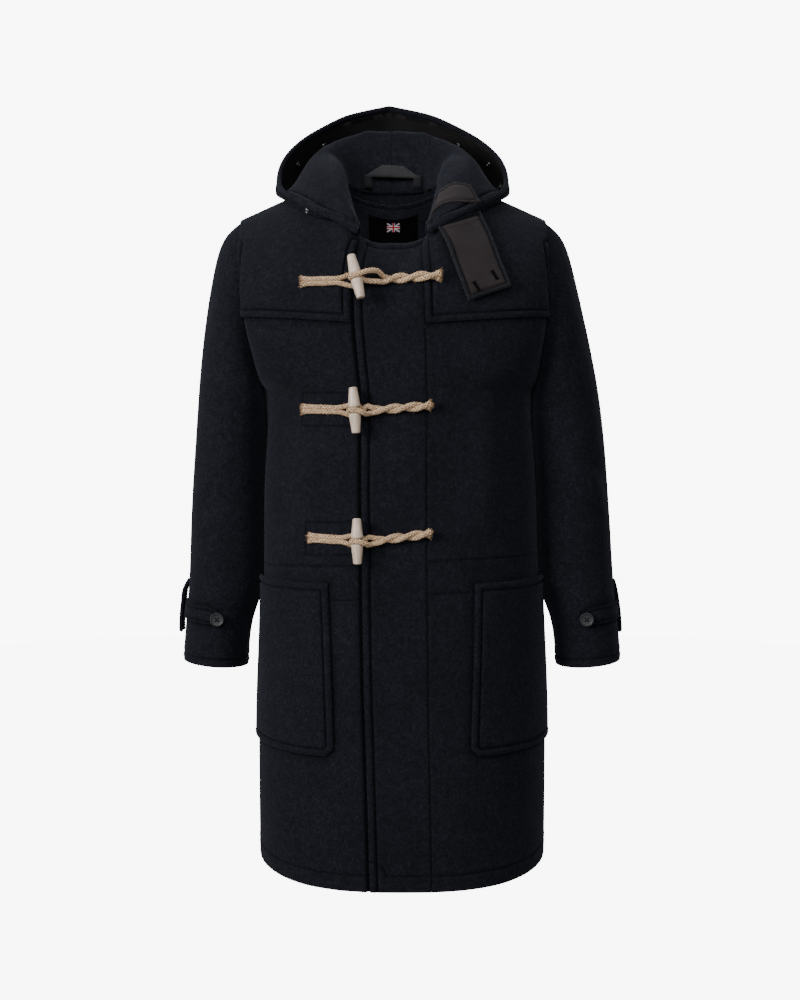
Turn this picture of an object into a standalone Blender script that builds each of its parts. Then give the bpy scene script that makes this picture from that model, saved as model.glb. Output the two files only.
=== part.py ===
"""Duffle coat in heavy wool, worn shape, hollow. Metres, +Z up, front at -Y, wearer's left at +X.
The origin is at the middle of the neck opening, at shoulder height, where a wearer carries it."""

import math
from collections import namedtuple

import bmesh
import bpy
import numpy as np
from mathutils import Matrix, Vector
from mathutils.bvhtree import BVHTree

# ---- cloth ----
WOOL = 0.0032  # coating wool
FACING = 0.0014  # thin facing cloth
SEAM_GAP = 0.0003  # between pieces that meet
PLY_GAP = 0.0006  # between pieces that lie on each other

# ---- body ----
HEM_Z = -0.959
HEM_RISE = 0.014  # how much higher the hem is at the side seams
UNDERARM_Z = -0.262
YOKE_SIDE_Z = -0.158  # lower yoke edge at the armhole
YOKE_MID_Z = -0.172  # lower yoke edge at the middle
FULLNESS = 2.4  # exponent of the body's cross-section, 2 is an ellipse
ARMHOLE_DEPTH = 0.080  # from the side line to the armhole edge, front and back

BodySection = namedtuple("BodySection", "z half_width front back")
BODY = [
    BodySection(HEM_Z, 0.2125, 0.172, 0.165),
    BodySection(-0.850, 0.2130, 0.169, 0.162),
    BodySection(-0.740, 0.2125, 0.165, 0.158),
    BodySection(-0.640, 0.2085, 0.160, 0.154),
    BodySection(-0.540, 0.2040, 0.155, 0.150),
    BodySection(-0.400, 0.2000, 0.151, 0.149),
    BodySection(UNDERARM_Z, 0.1960, 0.149, 0.148),
    BodySection(-0.215, 0.2050, 0.148, 0.148),
    BodySection(YOKE_SIDE_Z, 0.2145, 0.146, 0.148),
]

# ---- neck and shoulder ----
NECK_X = 0.076  # half the neck width
NECK_POINT_Z = 0.050
SHOULDER_X = 0.2225
SHOULDER_FALL = 0.452  # drop of the shoulder seam for each metre outwards
FRONT_NECK_Y = -0.090
FRONT_NECK_Z = -0.054
BACK_NECK_Y = 0.072
BACK_NECK_Z = 0.037

# ---- front edge ----
PlacketEdge = namedtuple("PlacketEdge", "z x")
PLACKET_EDGE = [
    PlacketEdge(HEM_Z, -0.0452),
    PlacketEdge(-0.800, -0.0495),
    PlacketEdge(-0.620, -0.0544),
    PlacketEdge(-0.470, -0.0542),
    PlacketEdge(-0.290, -0.0526),
    PlacketEdge(YOKE_SIDE_Z, -0.0475),
    PlacketEdge(0.0, -0.0462),
]
UNDERLAP_STEP = WOOL + PLY_GAP  # the under front runs on below the placket, this much lower

# ---- pockets ----
POCKET_BOTTOM_Z = -0.771
POCKET_MOUTH_Z = -0.529
POCKET_STAND = 0.0028  # how far the mouth stands off the front

# ---- the coat leans a little to the wearer's right towards the top ----
Lean = namedtuple("Lean", "z x")
LEAN = [
    Lean(-0.620, 0.0030),
    Lean(-0.420, 0.0004),
    Lean(-0.320, -0.0002),
    Lean(-0.260, -0.0022),
    Lean(-0.200, -0.0050),
    Lean(-0.140, -0.0078),
    Lean(-0.080, -0.0096),
    Lean(-0.020, -0.0100),
    Lean(0.080, -0.0115),
    Lean(0.180, -0.0170),
]

RIGHT = -1
LEFT = 1
FRONT = -1
BACK = 1


def smoothstep(value, low, high):
    share = min(max((value - low) / (high - low), 0.0), 1.0)
    return share * share * (3.0 - 2.0 * share)


def smooth_read(key, keys, values):
    """Reads a table with a smooth curve through its rows."""
    keys = np.asarray(keys, float)
    values = np.asarray(values, float)
    slopes = np.gradient(values, keys, axis=0)
    i = int(np.clip(np.searchsorted(keys, key) - 1, 0, len(keys) - 2))
    width = keys[i + 1] - keys[i]
    t = min(max((key - keys[i]) / width, 0.0), 1.0)
    start = (1 + 2 * t) * (1 - t) ** 2 * values[i] + t * t * (3 - 2 * t) * values[i + 1]
    return start + width * (t * (1 - t) ** 2 * slopes[i] - t * t * (1 - t) * slopes[i + 1])


def lean(points):
    """Shifts points sideways by the coat's lean at their height."""
    points = np.array(points, float)
    points[..., 0] += np.interp(points[..., 2], [row.z for row in LEAN], [row.x for row in LEAN])
    return points


# ---- body surface ----
# side: 0 at the middle, 1 at the side seam or armhole. level: 0 at the hem, 1 at the underarm,
# 2 at the lower yoke edge, 3 at the shoulder seam or neckline. face: FRONT or BACK.


def body_sizes(z):
    return smooth_read(z, [row.z for row in BODY], [row[1:] for row in BODY])


def armhole_depth(z, yoke_z):
    share = min(max((z - UNDERARM_Z) / (yoke_z - UNDERARM_Z), 0.0), 1.0)
    return ARMHOLE_DEPTH * math.sqrt(1.0 - (1.0 - share) ** 2)


def ring_point(side, z, face, yoke_z=YOKE_SIDE_Z):
    half_width, front, back = body_sizes(z)
    depth = front if face == FRONT else back
    edge = armhole_depth(z, yoke_z)
    bulge = max(0.0, 1.0 - abs(side) ** FULLNESS) ** (1.0 / FULLNESS)
    return np.array([half_width * side, face * (edge + (depth - edge) * bulge), z])


def neck_share(side):
    """0 at the middle of the neckline, 1 at the neck point."""
    return min(abs(side) * SHOULDER_X / NECK_X, 1.0)


def top_point(side, face):
    """Where the panel ends: the shoulder seam, or the neckline inside the neck points."""
    share = neck_share(side)
    x = SHOULDER_X * side
    if share >= 1.0:
        return np.array([x, 0.0, NECK_POINT_Z - SHOULDER_FALL * (abs(x) - NECK_X)])
    if face == FRONT:
        y = FRONT_NECK_Y * math.sqrt(1.0 - share**3)
        drop = (NECK_POINT_Z - FRONT_NECK_Z) * (1.0 - share**4.5) ** 0.85
    else:
        y = BACK_NECK_Y * math.sqrt(1.0 - share**2.5)
        drop = (NECK_POINT_Z - BACK_NECK_Z) * math.sqrt(1.0 - share**2.5)
    return np.array([x, y, NECK_POINT_Z - drop])


def body_point(side, level, face):
    yoke_z = YOKE_MID_Z + (YOKE_SIDE_Z - YOKE_MID_Z) * abs(side)
    if level <= 1.0:
        point = ring_point(side, HEM_Z + (UNDERARM_Z - HEM_Z) * level, face)
        point[2] += HEM_RISE * side**4 * (1.0 - level) ** 3
        return point
    if level <= 2.0:
        return ring_point(side, UNDERARM_Z + (yoke_z - UNDERARM_Z) * (level - 1.0), face, yoke_z)
    low = ring_point(side, yoke_z, face, yoke_z)
    top = top_point(side, face)
    share = neck_share(side)
    rise = smoothstep(share, 0.0, 1.0)
    flat = np.array([0.0, face * (0.030 + 0.018 * rise), -0.050 + 0.042 * rise])
    steep = 0.55 * (top[2] - low[2])
    handles = [low, low + np.array([0.0, 0.0, steep]), top + flat, top]
    t = level - 2.0
    weights = [(1 - t) ** 3, 3 * t * (1 - t) ** 2, 3 * t * t * (1 - t), t**3]
    return sum(w * p for w, p in zip(weights, handles))


def side_from_angle(angle):
    return math.sin(angle) ** (2.0 / FULLNESS)


def body_out(side, level, face):
    """Unit direction out of the cloth at a point of the body."""
    mirror = -1.0 if side < 0 else 1.0
    angle = math.asin(min(abs(side), 1.0) ** (FULLNESS / 2.0))
    step = 0.03

    def at(turn):
        if turn > math.pi / 2 and level <= 1.0:
            return body_point(side_from_angle(math.pi - turn), level, -face)
        if turn < 0:
            return body_point(-side_from_angle(-turn), level, face)
        return body_point(side_from_angle(min(turn, math.pi / 2)), level, face)

    across = at(angle + step) - at(angle - step)
    upper = body_point(abs(side), min(level + 0.02, 3.0), face)
    up = upper - body_point(abs(side), max(level - 0.02, 0.0), face)
    out = np.cross(across, up) * (-face)
    out = out / np.linalg.norm(out)
    return np.array([mirror * out[0], out[1], out[2]])


def neck_out(point):
    around = np.array([point[0], point[1], 0.0])
    around = around / np.linalg.norm(around)
    rise = 0.25 + 0.35 * smoothstep(point[1], -0.07, 0.0)
    out = around + np.array([0.0, 0.0, rise])
    return out / np.linalg.norm(out)


def shoulder_out(side):
    out = np.array([math.copysign(SHOULDER_FALL, side), 0.0, 1.0])
    return out / np.linalg.norm(out)


def armhole_out(level, face):
    """Direction out of the armhole seam, square to its run, shared by the panel and the sleeve."""
    before = body_point(1.0, max(level - 0.04, 1.0), face)
    after = body_point(1.0, min(level + 0.04, 3.0), face)
    run = after - before
    if level <= 1.0:
        run = np.array([0.0, face, 0.0])
    if level >= 3.0:
        run = np.array([0.0, -face, 0.0])
    out = np.array([0.0, run[2], -run[1]]) * face
    return out / np.linalg.norm(out)


# ---- a cloth piece is a grid of points with the directions out of it ----
Grid = namedtuple("Grid", "points out")

ARMHOLE_ROWS = 3
YOKE_ROWS = 6
BODY_ROW_Z = [HEM_Z, -0.917, -0.868, -0.818, POCKET_BOTTOM_Z, -0.708, -0.648, -0.589]
BODY_ROW_Z += [POCKET_MOUTH_Z, -0.460, -0.388, -0.322, -0.285]
LEVELS = [(z - HEM_Z) / (UNDERARM_Z - HEM_Z) for z in BODY_ROW_Z]
LEVELS += [2.0 - math.cos(math.pi / 2 * k / ARMHOLE_ROWS) for k in range(ARMHOLE_ROWS)]
LEVELS += [2.0 + k / YOKE_ROWS for k in range(YOKE_ROWS + 1)]
UNDERARM_ROW = len(BODY_ROW_Z)
YOKE_ROW = UNDERARM_ROW + ARMHOLE_ROWS
POCKET_BOTTOM_ROW = BODY_ROW_Z.index(POCKET_BOTTOM_Z)
POCKET_MOUTH_ROW = BODY_ROW_Z.index(POCKET_MOUTH_Z)

# neck stations, as angles round the quarter neckline from its middle to the neck point
NECK_ANGLES = [0, 12, 25, 45, 65, 90]
NECK_SIDES = [NECK_X / SHOULDER_X * math.sqrt(math.sin(math.radians(a))) for a in NECK_ANGLES]
HOOD_START = 2  # the hood's front end sits on this neck station
NECK_TURN = math.asin(NECK_SIDES[-1] ** (FULLNESS / 2.0))
SHOULDER_COLUMNS = 7
SHOULDER_SIDES = [
    side_from_angle(NECK_TURN + (math.pi / 2 - NECK_TURN) * k / SHOULDER_COLUMNS)
    for k in range(1, SHOULDER_COLUMNS + 1)
]


def panel(face, low_sides, top_sides):
    """A body panel. Its columns run from low_sides(z) up to the yoke edge, and on to top_sides."""
    points, out = [], []
    for level in LEVELS:
        z = HEM_Z + (UNDERARM_Z - HEM_Z) * min(level, 1.0)
        low = low_sides(z)
        share = smoothstep(level, 2.0, 3.0)
        row_points, row_out = [], []
        for start, end in zip(low, top_sides):
            side = start + (end - start) * share
            point = body_point(side, level, face)
            direction = body_out(side, level, face)
            if level >= 3.0:
                inside = neck_share(side) <= 1.0 and abs(side) <= NECK_SIDES[-1] + 1e-9
                direction = neck_out(point) if inside else shoulder_out(side)
            if abs(side) > 1.0 - 1e-9 and level >= 1.0:
                direction = armhole_out(level, face)
            row_points.append(point)
            row_out.append(direction)
        points.append(row_points)
        out.append(row_out)
    return Grid(np.array(points), np.array(out))


def placket_edge(z):
    return smooth_read(z, [row.z for row in PLACKET_EDGE], [row.x for row in PLACKET_EDGE])


# ---- columns of the body panels, at the yoke edge and below (metres) and at the top (sides) ----
POCKET_COLUMN_X = 0.091
YOKE_INNER_X = 0.043  # inner edge of the left front yoke
YOKE_INNER_TAPER = 0.0045  # how much nearer the middle that edge is at its lower end
LEFT_YOKE_COLUMN = 4  # the column of the left front along its yoke's inner edge
RIGHT_YOKE_COLUMN = 5


def outer_sides(half_width):
    """From the pocket column round to the side seam, evenly by angle."""
    turn = math.asin((POCKET_COLUMN_X / half_width) ** (FULLNESS / 2.0))
    steps = range(1, SHOULDER_COLUMNS + 1)
    return [side_from_angle(turn + (math.pi / 2 - turn) * k / SHOULDER_COLUMNS) for k in steps]


def left_low_sides(z):
    width = body_sizes(z)[0]
    edge = placket_edge(z)
    inner = [edge, edge / 2, 0.0, 0.019, YOKE_INNER_X - YOKE_INNER_TAPER, 0.052, 0.065, 0.078]
    return [x / width for x in inner + [POCKET_COLUMN_X]] + outer_sides(width)


def left_front():
    edge = placket_edge(0.0)
    inner = [x / SHOULDER_X for x in (edge, edge / 2, 0.0, 0.022, YOKE_INNER_X)]
    return panel(FRONT, left_low_sides, inner + NECK_SIDES[HOOD_START:] + SHOULDER_SIDES)


def right_low_sides(z):
    width = body_sizes(z)[0]
    edge = placket_edge(z)
    inner = [YOKE_INNER_X - YOKE_INNER_TAPER, 0.019, 0.0, edge / 2, edge - 0.0005]
    inner += [edge - 0.0045, edge - 0.014, -0.078, -POCKET_COLUMN_X]
    return [x / width for x in inner] + [-side for side in outer_sides(width)]


def right_front():
    edge = placket_edge(0.0)
    inner = [x / SHOULDER_X for x in (YOKE_INNER_X, 0.022, 0.0, edge / 2, edge - 0.0008)]
    outer = [-side for side in NECK_SIDES[HOOD_START:] + SHOULDER_SIDES]
    return panel(FRONT, right_low_sides, inner + outer)


def stepped_in(grid):
    """The right front, lower where it runs on below the placket."""
    points = grid.points.copy()
    points[:, :RIGHT_YOKE_COLUMN] -= UNDERLAP_STEP * grid.out[:, :RIGHT_YOKE_COLUMN]
    return Grid(points, grid.out)


def back_low_sides(z):
    width = body_sizes(z)[0]
    inner = [0.0, 0.018, 0.036, 0.054, 0.072, POCKET_COLUMN_X]
    half = [x / width for x in inner] + outer_sides(width)
    return [-side for side in half[:0:-1]] + half


def back_panel():
    half = NECK_SIDES + SHOULDER_SIDES
    return panel(BACK, back_low_sides, [-side for side in half[:0:-1]] + half)


# ---- places on a grid, as a row and a column that may lie between its lines ----


def between(values, row, column):
    i = min(int(row), values.shape[0] - 2)
    j = min(int(column), values.shape[1] - 2)
    a, b = row - i, column - j
    near = (1 - b) * values[i, j] + b * values[i, j + 1]
    far = (1 - b) * values[i + 1, j] + b * values[i + 1, j + 1]
    return (1 - a) * near + a * far


def patch(grid, places):
    """The part of a grid at these places, a list of rows of (row, column)."""
    points = [[between(grid.points, *place) for place in row] for row in places]
    out = [[between(grid.out, *place) for place in row] for row in places]
    return Grid(np.array(points), np.array(out))


def place_of(grid, x, z):
    """The row and column of a grid at this x and height."""
    rows, columns = grid.points.shape[:2]
    row, column = rows / 2, columns / 2
    for _ in range(12):
        heights = [between(grid.points, i, column)[2] for i in range(rows)]
        row = float(np.interp(z, heights, range(rows)))
        across = np.array([between(grid.points, row, j)[0] for j in range(columns)])
        way = 1 if across[-1] > across[0] else -1
        column = float(np.interp(x * way, across * way, range(columns)))
    return row, column


def on_grid(grid, x, z, lift):
    """The point this far above a grid, with the direction out of it there."""
    place = place_of(grid, x, z)
    out = between(grid.out, *place)
    out = out / np.linalg.norm(out)
    return between(grid.points, *place) + lift * out, out


def raised(grid, lifts):
    return Grid(grid.points + grid.out * np.asarray(lifts)[..., None], grid.out)


def mirrored(grid):
    flip = np.array([-1.0, 1.0, 1.0])
    return Grid(grid.points * flip, grid.out * flip)


def facing_out(points, closed, way):
    """Directions out of a grid, from the run of its lines."""
    down = np.gradient(points, axis=0)
    if closed:
        across = np.roll(points, -1, axis=1) - np.roll(points, 1, axis=1)
    else:
        across = np.gradient(points, axis=1)
    out = np.cross(across, down) * way
    return out / np.linalg.norm(out, axis=-1, keepdims=True)


# ---- sleeve: rings from the armhole to the cuff, each from its inner and outer point ----
SleeveRing = namedtuple("SleeveRing", "in_x in_z out_x out_z half_depth back")
SLEEVE = [
    SleeveRing(0.1974, -0.268, 0.2410, -0.033, 0.083, 0.000),
    SleeveRing(0.1974, -0.275, 0.2550, -0.060, 0.085, 0.000),
    SleeveRing(0.1975, -0.285, 0.2655, -0.101, 0.085, 0.000),
    SleeveRing(0.1977, -0.299, 0.2755, -0.150, 0.083, 0.000),
    SleeveRing(0.1981, -0.319, 0.2855, -0.205, 0.080, 0.001),
    SleeveRing(0.1992, -0.351, 0.2942, -0.265, 0.077, 0.001),
    SleeveRing(0.2009, -0.396, 0.3012, -0.335, 0.073, 0.000),
    SleeveRing(0.2024, -0.446, 0.3065, -0.405, 0.069, -0.002),
    SleeveRing(0.2037, -0.501, 0.3105, -0.475, 0.066, -0.005),
    SleeveRing(0.2097, -0.556, 0.3138, -0.542, 0.063, -0.009),
    SleeveRing(0.2232, -0.611, 0.3190, -0.600, 0.061, -0.013),
    SleeveRing(0.2270, -0.664, 0.3235, -0.655, 0.060, -0.016),
]
TURN_POINTS = 2 * (ARMHOLE_ROWS + YOKE_ROWS)  # points round a sleeve ring, as round the armhole


def ring_of(row, angle):
    """A point of a sleeve ring. The angle runs from the outer side, 0, to the front at 90 degrees."""
    inner = np.array([row.in_x, row.back, row.in_z])
    outer = np.array([row.out_x, row.back, row.out_z])
    middle = (inner + outer) / 2
    reach = (outer - inner) / 2
    return middle + math.cos(angle) * reach - np.array([0.0, math.sin(angle) * row.half_depth, 0.0])


def sleeve_grid():
    """The wearer's left sleeve. Its first ring is the armhole's own points."""
    front_levels = LEVELS[UNDERARM_ROW:]
    back_levels = LEVELS[-2:UNDERARM_ROW:-1]
    armhole = [body_point(1.0, level, FRONT) for level in front_levels]
    armhole += [body_point(1.0, level, BACK) for level in back_levels]
    seam_out = [armhole_out(level, FRONT) for level in front_levels]
    seam_out += [armhole_out(level, BACK) for level in back_levels]
    angles = [math.pi - 2 * math.pi * k / TURN_POINTS for k in range(TURN_POINTS)]
    points = np.array([armhole] + [[ring_of(row, angle) for angle in angles] for row in SLEEVE])
    out = facing_out(points, True, 1)
    middle = points.mean(axis=1, keepdims=True)
    if np.sum(out[1:] * (points - middle)[1:]) < 0:
        out = -out
    out[0] = seam_out
    return Grid(points, out)


# ---- hood: stations from the back of the neck round to its front end, for the wearer's left ----
# each runs from the neckline over a roll and a ridge down into the trough, and up a wall to the rim.
# Places (x, y, z) in millimetres.
HoodStation = namedtuple("HoodStation", "roll ridge trough wall rim")
HOOD = [
    HoodStation((0, 68, 85), (0, 92, 122), (0, 160, -55), (0, 202, 50), (0, 155, 184)),
    HoodStation((34, 66, 85), (38, 90, 121), (46, 155, -48), (60, 193, 50), (60, 138, 168)),
    HoodStation((56, 58, 83), (66, 82, 115), (87, 140, -22), (112, 163, 50), (100, 117, 147)),
    HoodStation((74, 42, 80), (88, 66, 106), (118, 112, 6), (148, 122, 47), (138, 88, 119)),
    HoodStation((83, 22, 76), (105, 44, 94), (140, 74, 26), (166, 74, 44), (163, 54, 86)),
    HoodStation((79, 2, 72), (116, 16, 78), (148, 26, 34), (172, 22, 30), (168, 16, 52)),
    HoodStation((72.5, -31, 52), (106, -26, 59), (134, -34, 30), (156, -42, 12), (154, -38, 26)),
    HoodStation((64, -58, 19), (82, -70, 26), (96, -87, 2), (104, -98, -19), (106, -99, -6)),
    HoodStation((49.4, -86.0, -36), (50, -96.0, -37), (50, -106.0, -39), (49.5, -115.0, -44), (49, -117.0, -39)),
]
HOOD_ROWS = [0.0, 0.5, 1.0, 1.5, 2.0, 2.5, 3.0, 3.33, 3.67, 4.0, 4.5, 5.0]
HOOD_STEP = 2  # columns for each station
HOOD_FACING_GAP = 0.0011
HOOD_REST_GAP = 0.0056  # between the hood and the shoulders where it lies on them


def hood_grid(below):
    """The wearer's left half of the hood. Its first row is the neckline's own points."""
    back = [top_point(side, BACK) for side in NECK_SIDES]
    front = [top_point(side, FRONT) for side in NECK_SIDES[-2 : HOOD_START - 1 : -1]]
    neck = np.array(back + front)
    neck_directions = np.array([neck_out(point) for point in neck])
    control = np.array([list(station) for station in HOOD]) / 1000.0
    keys = range(len(HOOD))
    columns = []
    for k in range(HOOD_STEP * (len(HOOD) - 1) + 1):
        station = k / HOOD_STEP
        start = between(neck[None].repeat(2, axis=0), 0, station)
        run = [start] + list(smooth_read(station, keys, control))
        columns.append([smooth_read(row, range(len(run)), run) for row in HOOD_ROWS])
    points = np.array(columns).transpose(1, 0, 2)
    points[:, 0, 0] = 0.0
    points = resting(points, below)
    out = facing_out(points, False, 1)
    if out[1, 0, 1] < 0:
        out = -out
    out[:, 0, 0] = 0.0
    out[:, 0] /= np.linalg.norm(out[:, 0], axis=-1, keepdims=True)
    stations = [k / HOOD_STEP for k in range(points.shape[1])]
    out[0] = [between(neck_directions[None].repeat(2, axis=0), 0, station) for station in stations]
    return Grid(points, out)


def resting(points, below):
    """Lifts points that would be in the cloth below them, so that they rest on it."""
    trees = []
    for grid, lift in below:
        rows, columns = grid.points.shape[:2]
        skin = (grid.points + grid.out * lift).reshape(-1, 3)
        quads = [(r * columns + c, r * columns + c + 1) for r in range(rows - 1) for c in range(columns - 1)]
        faces = [(a, b, b + columns, a + columns) for a, b in quads]
        trees.append(BVHTree.FromPolygons([tuple(p) for p in skin], faces))
    lifts = np.zeros(points.shape[:2])
    for place in np.ndindex(*lifts.shape):
        x, y, z = points[place]
        for tree in trees:
            hit, normal, _, _ = tree.ray_cast(Vector((x, y, 0.5)), Vector((0.0, 0.0, -1.0)))
            if hit is not None and place[0] > 0:
                rest = hit.z + HOOD_REST_GAP / max(abs(normal.z), 0.35)
                lifts[place] = max(lifts[place], rest - z)
    wall = HOOD_ROWS.index(4.0)
    lifts[wall + 1 :] = np.maximum(lifts[wall + 1 :], lifts[wall])
    return points + lifts[..., None] * np.array([0.0, 0.0, 1.0])


# ---- making objects ----
coat = bpy.data.collections.new("duffle_coat")


def clear_scene():
    for thing in list(bpy.data.objects):
        bpy.data.objects.remove(thing, do_unlink=True)


def finish(name, colour, roughness, metallic=0.0):
    material = bpy.data.materials.new(name)
    material.use_nodes = True
    shader = material.node_tree.nodes["Principled BSDF"]
    shader.inputs["Base Color"].default_value = (*colour, 1.0)
    shader.inputs["Roughness"].default_value = roughness
    shader.inputs["Metallic"].default_value = metallic
    material.diffuse_color = (*colour, 1.0)
    return material


def add_object(name, data, material):
    thing = bpy.data.objects.new(name, data)
    data.materials.append(material)
    coat.objects.link(thing)
    return thing


def drawn_in(points, closed):
    """Draws the edges of a grid in by half the seam gap."""
    moved = points.copy()

    def shifted(edge, inner):
        step = inner - edge
        return edge + step * (SEAM_GAP / 2 / np.linalg.norm(step, axis=-1, keepdims=True))

    moved[0] = shifted(points[0], points[1])
    moved[-1] = shifted(points[-1], points[-2])
    if not closed:
        moved[:, 0] = shifted(moved[:, 0], moved[:, 1])
        moved[:, -1] = shifted(moved[:, -1], moved[:, -2])
    return moved


def cloth_piece(name, grid, thickness, material, top=0.0, closed=False):
    """A wall of cloth. Its outer face lies this far above the grid, its inner face a thickness below."""
    points = drawn_in(grid.points, closed)
    skins = [lean(points + grid.out * lift) for lift in (top, top - thickness)]
    rows, columns = points.shape[:2]
    mesh = bmesh.new()
    outer, inner = [[[mesh.verts.new(p) for p in row] for row in skin] for skin in skins]
    spans = [(c, (c + 1) % columns) for c in range(columns if closed else columns - 1)]
    for r in range(rows - 1):
        for a, b in spans:
            first, second = grid.points[r, a, 0], grid.points[r, b, 0]
            turned = (first + second < 0) != (second < first)
            for skin in (outer, inner):
                corners = [skin[r][a], skin[r][b], skin[r + 1][b], skin[r + 1][a]]
                corners = corners[1:] + corners[:1] if turned else corners
                mesh.faces.new(corners[:3])
                mesh.faces.new([corners[2], corners[3], corners[0]])
    for a, b in spans:
        mesh.faces.new([outer[0][b], outer[0][a], inner[0][a], inner[0][b]])
        mesh.faces.new([outer[-1][a], outer[-1][b], inner[-1][b], inner[-1][a]])
    if not closed:
        for r in range(rows - 1):
            mesh.faces.new([outer[r][0], outer[r + 1][0], inner[r + 1][0], inner[r][0]])
            mesh.faces.new([outer[r + 1][-1], outer[r][-1], inner[r][-1], inner[r + 1][-1]])
    bmesh.ops.recalc_face_normals(mesh, faces=mesh.faces)
    data = bpy.data.meshes.new(name)
    mesh.to_mesh(data)
    mesh.free()
    data.shade_smooth()
    data.set_sharp_from_angle(angle=math.radians(40))
    return add_object(name, data, material)


def turned(name, profile, steps, material, place):
    """A round piece: its profile of (radius, height), from the top down, turned about its own Z."""
    data = bpy.data.meshes.new(name)
    points = [(radius, 0.0, height) for radius, height in profile]
    data.from_pydata(points, [(i, i + 1) for i in range(len(points) - 1)], [])
    thing = add_object(name, data, material)
    screw = thing.modifiers.new("Turn", "SCREW")
    screw.steps = steps
    screw.render_steps = steps
    screw.use_merge_vertices = True
    screw.merge_threshold = 0.00005
    screw.use_smooth_shade = True
    place = place.copy()
    place.translation = Vector(lean([place.translation])[0])
    thing.matrix_world = place
    return thing


def tube(name, points, radius, material, flares=()):
    """A cord along these points. flares are the radius shares of its first and last points."""
    data = bpy.data.curves.new(name, "CURVE")
    data.dimensions = "3D"
    data.bevel_depth = radius
    data.bevel_resolution = 2
    data.use_fill_caps = True
    spline = data.splines.new("POLY")
    spline.points.add(len(points) - 1)
    for k, point in enumerate(points):
        spline.points[k].co = (*point, 1.0)
        end = min(k, len(points) - 1 - k)
        spline.points[k].radius = flares[end] if end < len(flares) else 1.0
    return add_object(name, data, material)


def standing(point, out, tilt):
    """A placing matrix: local X out of the cloth, local Z up along it, turned by tilt in its plane."""
    out = Vector(out).normalized()
    up = Vector((0.0, 0.0, 1.0))
    up = (up - out * up.dot(out)).normalized()
    up = Matrix.Rotation(tilt, 3, out) @ up
    side = up.cross(out).normalized()
    return Matrix.Translation(Vector(point)) @ Matrix((out, side, up)).transposed().to_4x4()


def lying(point, out):
    """A placing matrix with local Z out of the cloth."""
    turn = Vector(out).normalized().to_track_quat("Z", "Y").to_matrix().to_4x4()
    return Matrix.Translation(Vector(point)) @ turn


# ---- pieces ----


def span(first, last):
    """first, the whole numbers between, and last."""
    return [first] + [k for k in range(math.floor(first) + 1, math.ceil(last))] + [last]


NECK_SETBACK = 0.22  # how far the yokes stay off the neckline, in rows
NECK_SETBACK_SIDE = 0.42  # the same beside the neck point, under the hood


def yoke_places(columns, setback):
    """Rows from the yoke's lower edge to the shoulder seam, kept off the neckline by setback(column)."""
    last = len(LEVELS) - 1
    places = [[(row, c) for c in columns] for row in range(YOKE_ROW, last)]
    return places + [[(last - setback(c), c) for c in columns]]


YOKE_TOP = WOOL + PLY_GAP


def make_body(wool, left, right, back):
    cloth_piece("front_left", left, WOOL, wool)
    cloth_piece("front_right", stepped_in(right), WOOL, wool)
    cloth_piece("back", back, WOOL, wool)


def make_yokes(wool, left, right, back):
    for name, grid, first in (("left", left, LEFT_YOKE_COLUMN), ("right", right, RIGHT_YOKE_COLUMN)):
        count = grid.points.shape[1]
        setbacks = [NECK_SETBACK_SIDE] * (count - SHOULDER_COLUMNS) + [0.0] * SHOULDER_COLUMNS
        setbacks[: LEFT_YOKE_COLUMN + 2] = [NECK_SETBACK] * (LEFT_YOKE_COLUMN + 2)
        places = yoke_places(range(first, count), setbacks.__getitem__)
        cloth_piece(f"yoke_front_{name}", patch(grid, places), WOOL, wool, YOKE_TOP)
    middle = back.points.shape[1] // 2
    inside = len(NECK_SIDES) - 1
    columns = range(back.points.shape[1])
    places = yoke_places(columns, lambda c: NECK_SETBACK * (abs(c - middle) <= inside))
    cloth_piece("yoke_back", patch(back, places), WOOL, wool, YOKE_TOP)


def make_sleeves(wool, sleeve):
    cloth_piece("sleeve_left", sleeve, WOOL, wool, closed=True)
    cloth_piece("sleeve_right", mirrored(sleeve), WOOL, wool, closed=True)


def make_hood(wool, lining, hood):
    cloth_piece("hood_left", hood, WOOL, wool)
    cloth_piece("hood_right", mirrored(hood), WOOL, wool)
    other = mirrored(hood)
    whole = Grid(
        np.concatenate([other.points[:, :0:-1], hood.points], axis=1),
        np.concatenate([other.out[:, :0:-1], hood.out], axis=1),
    )
    middle = hood.points.shape[1] - 1
    rows = [8, 9, 10, 10.86]
    columns = range(middle - 10, middle + 11)
    facing = patch(whole, [[(row, column) for column in columns] for row in rows])
    cloth_piece("hood_facing", facing, FACING, lining, -WOOL - HOOD_FACING_GAP)
    return whole, middle


def make_pockets(wool, left, right):
    """Patch pockets. Each is taken from its front's own grid and stands off it a little at the mouth."""
    for name, grid in (("left", left), ("right", right)):
        first = grid.points.shape[1] - 1 - SHOULDER_COLUMNS
        last = grid.points.shape[1] - 1 - 0.3
        rows = span(POCKET_BOTTOM_ROW, POCKET_MOUTH_ROW)
        rows.insert(1, POCKET_BOTTOM_ROW + 0.17)
        places = []
        for row in rows:
            share = (row - POCKET_BOTTOM_ROW) / (POCKET_MOUTH_ROW - POCKET_BOTTOM_ROW)
            inner = first + 0.13 + 0.24 * share
            if row == POCKET_BOTTOM_ROW:
                inner += 0.36
            columns = span(inner, last)
            places.append([(row, c) for c in columns])
        pocket = patch(grid, places)
        count = pocket.points.shape[1]
        across = [math.sin(math.pi * k / (count - 1)) ** 0.6 for k in range(count)]
        up = [((row - rows[0]) / (rows[-1] - rows[0])) ** 3 for row in rows]
        stand = np.outer(up, across) * POCKET_STAND
        cloth_piece(f"pocket_{name}", raised(pocket, stand), WOOL, wool, WOOL + PLY_GAP)


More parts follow.
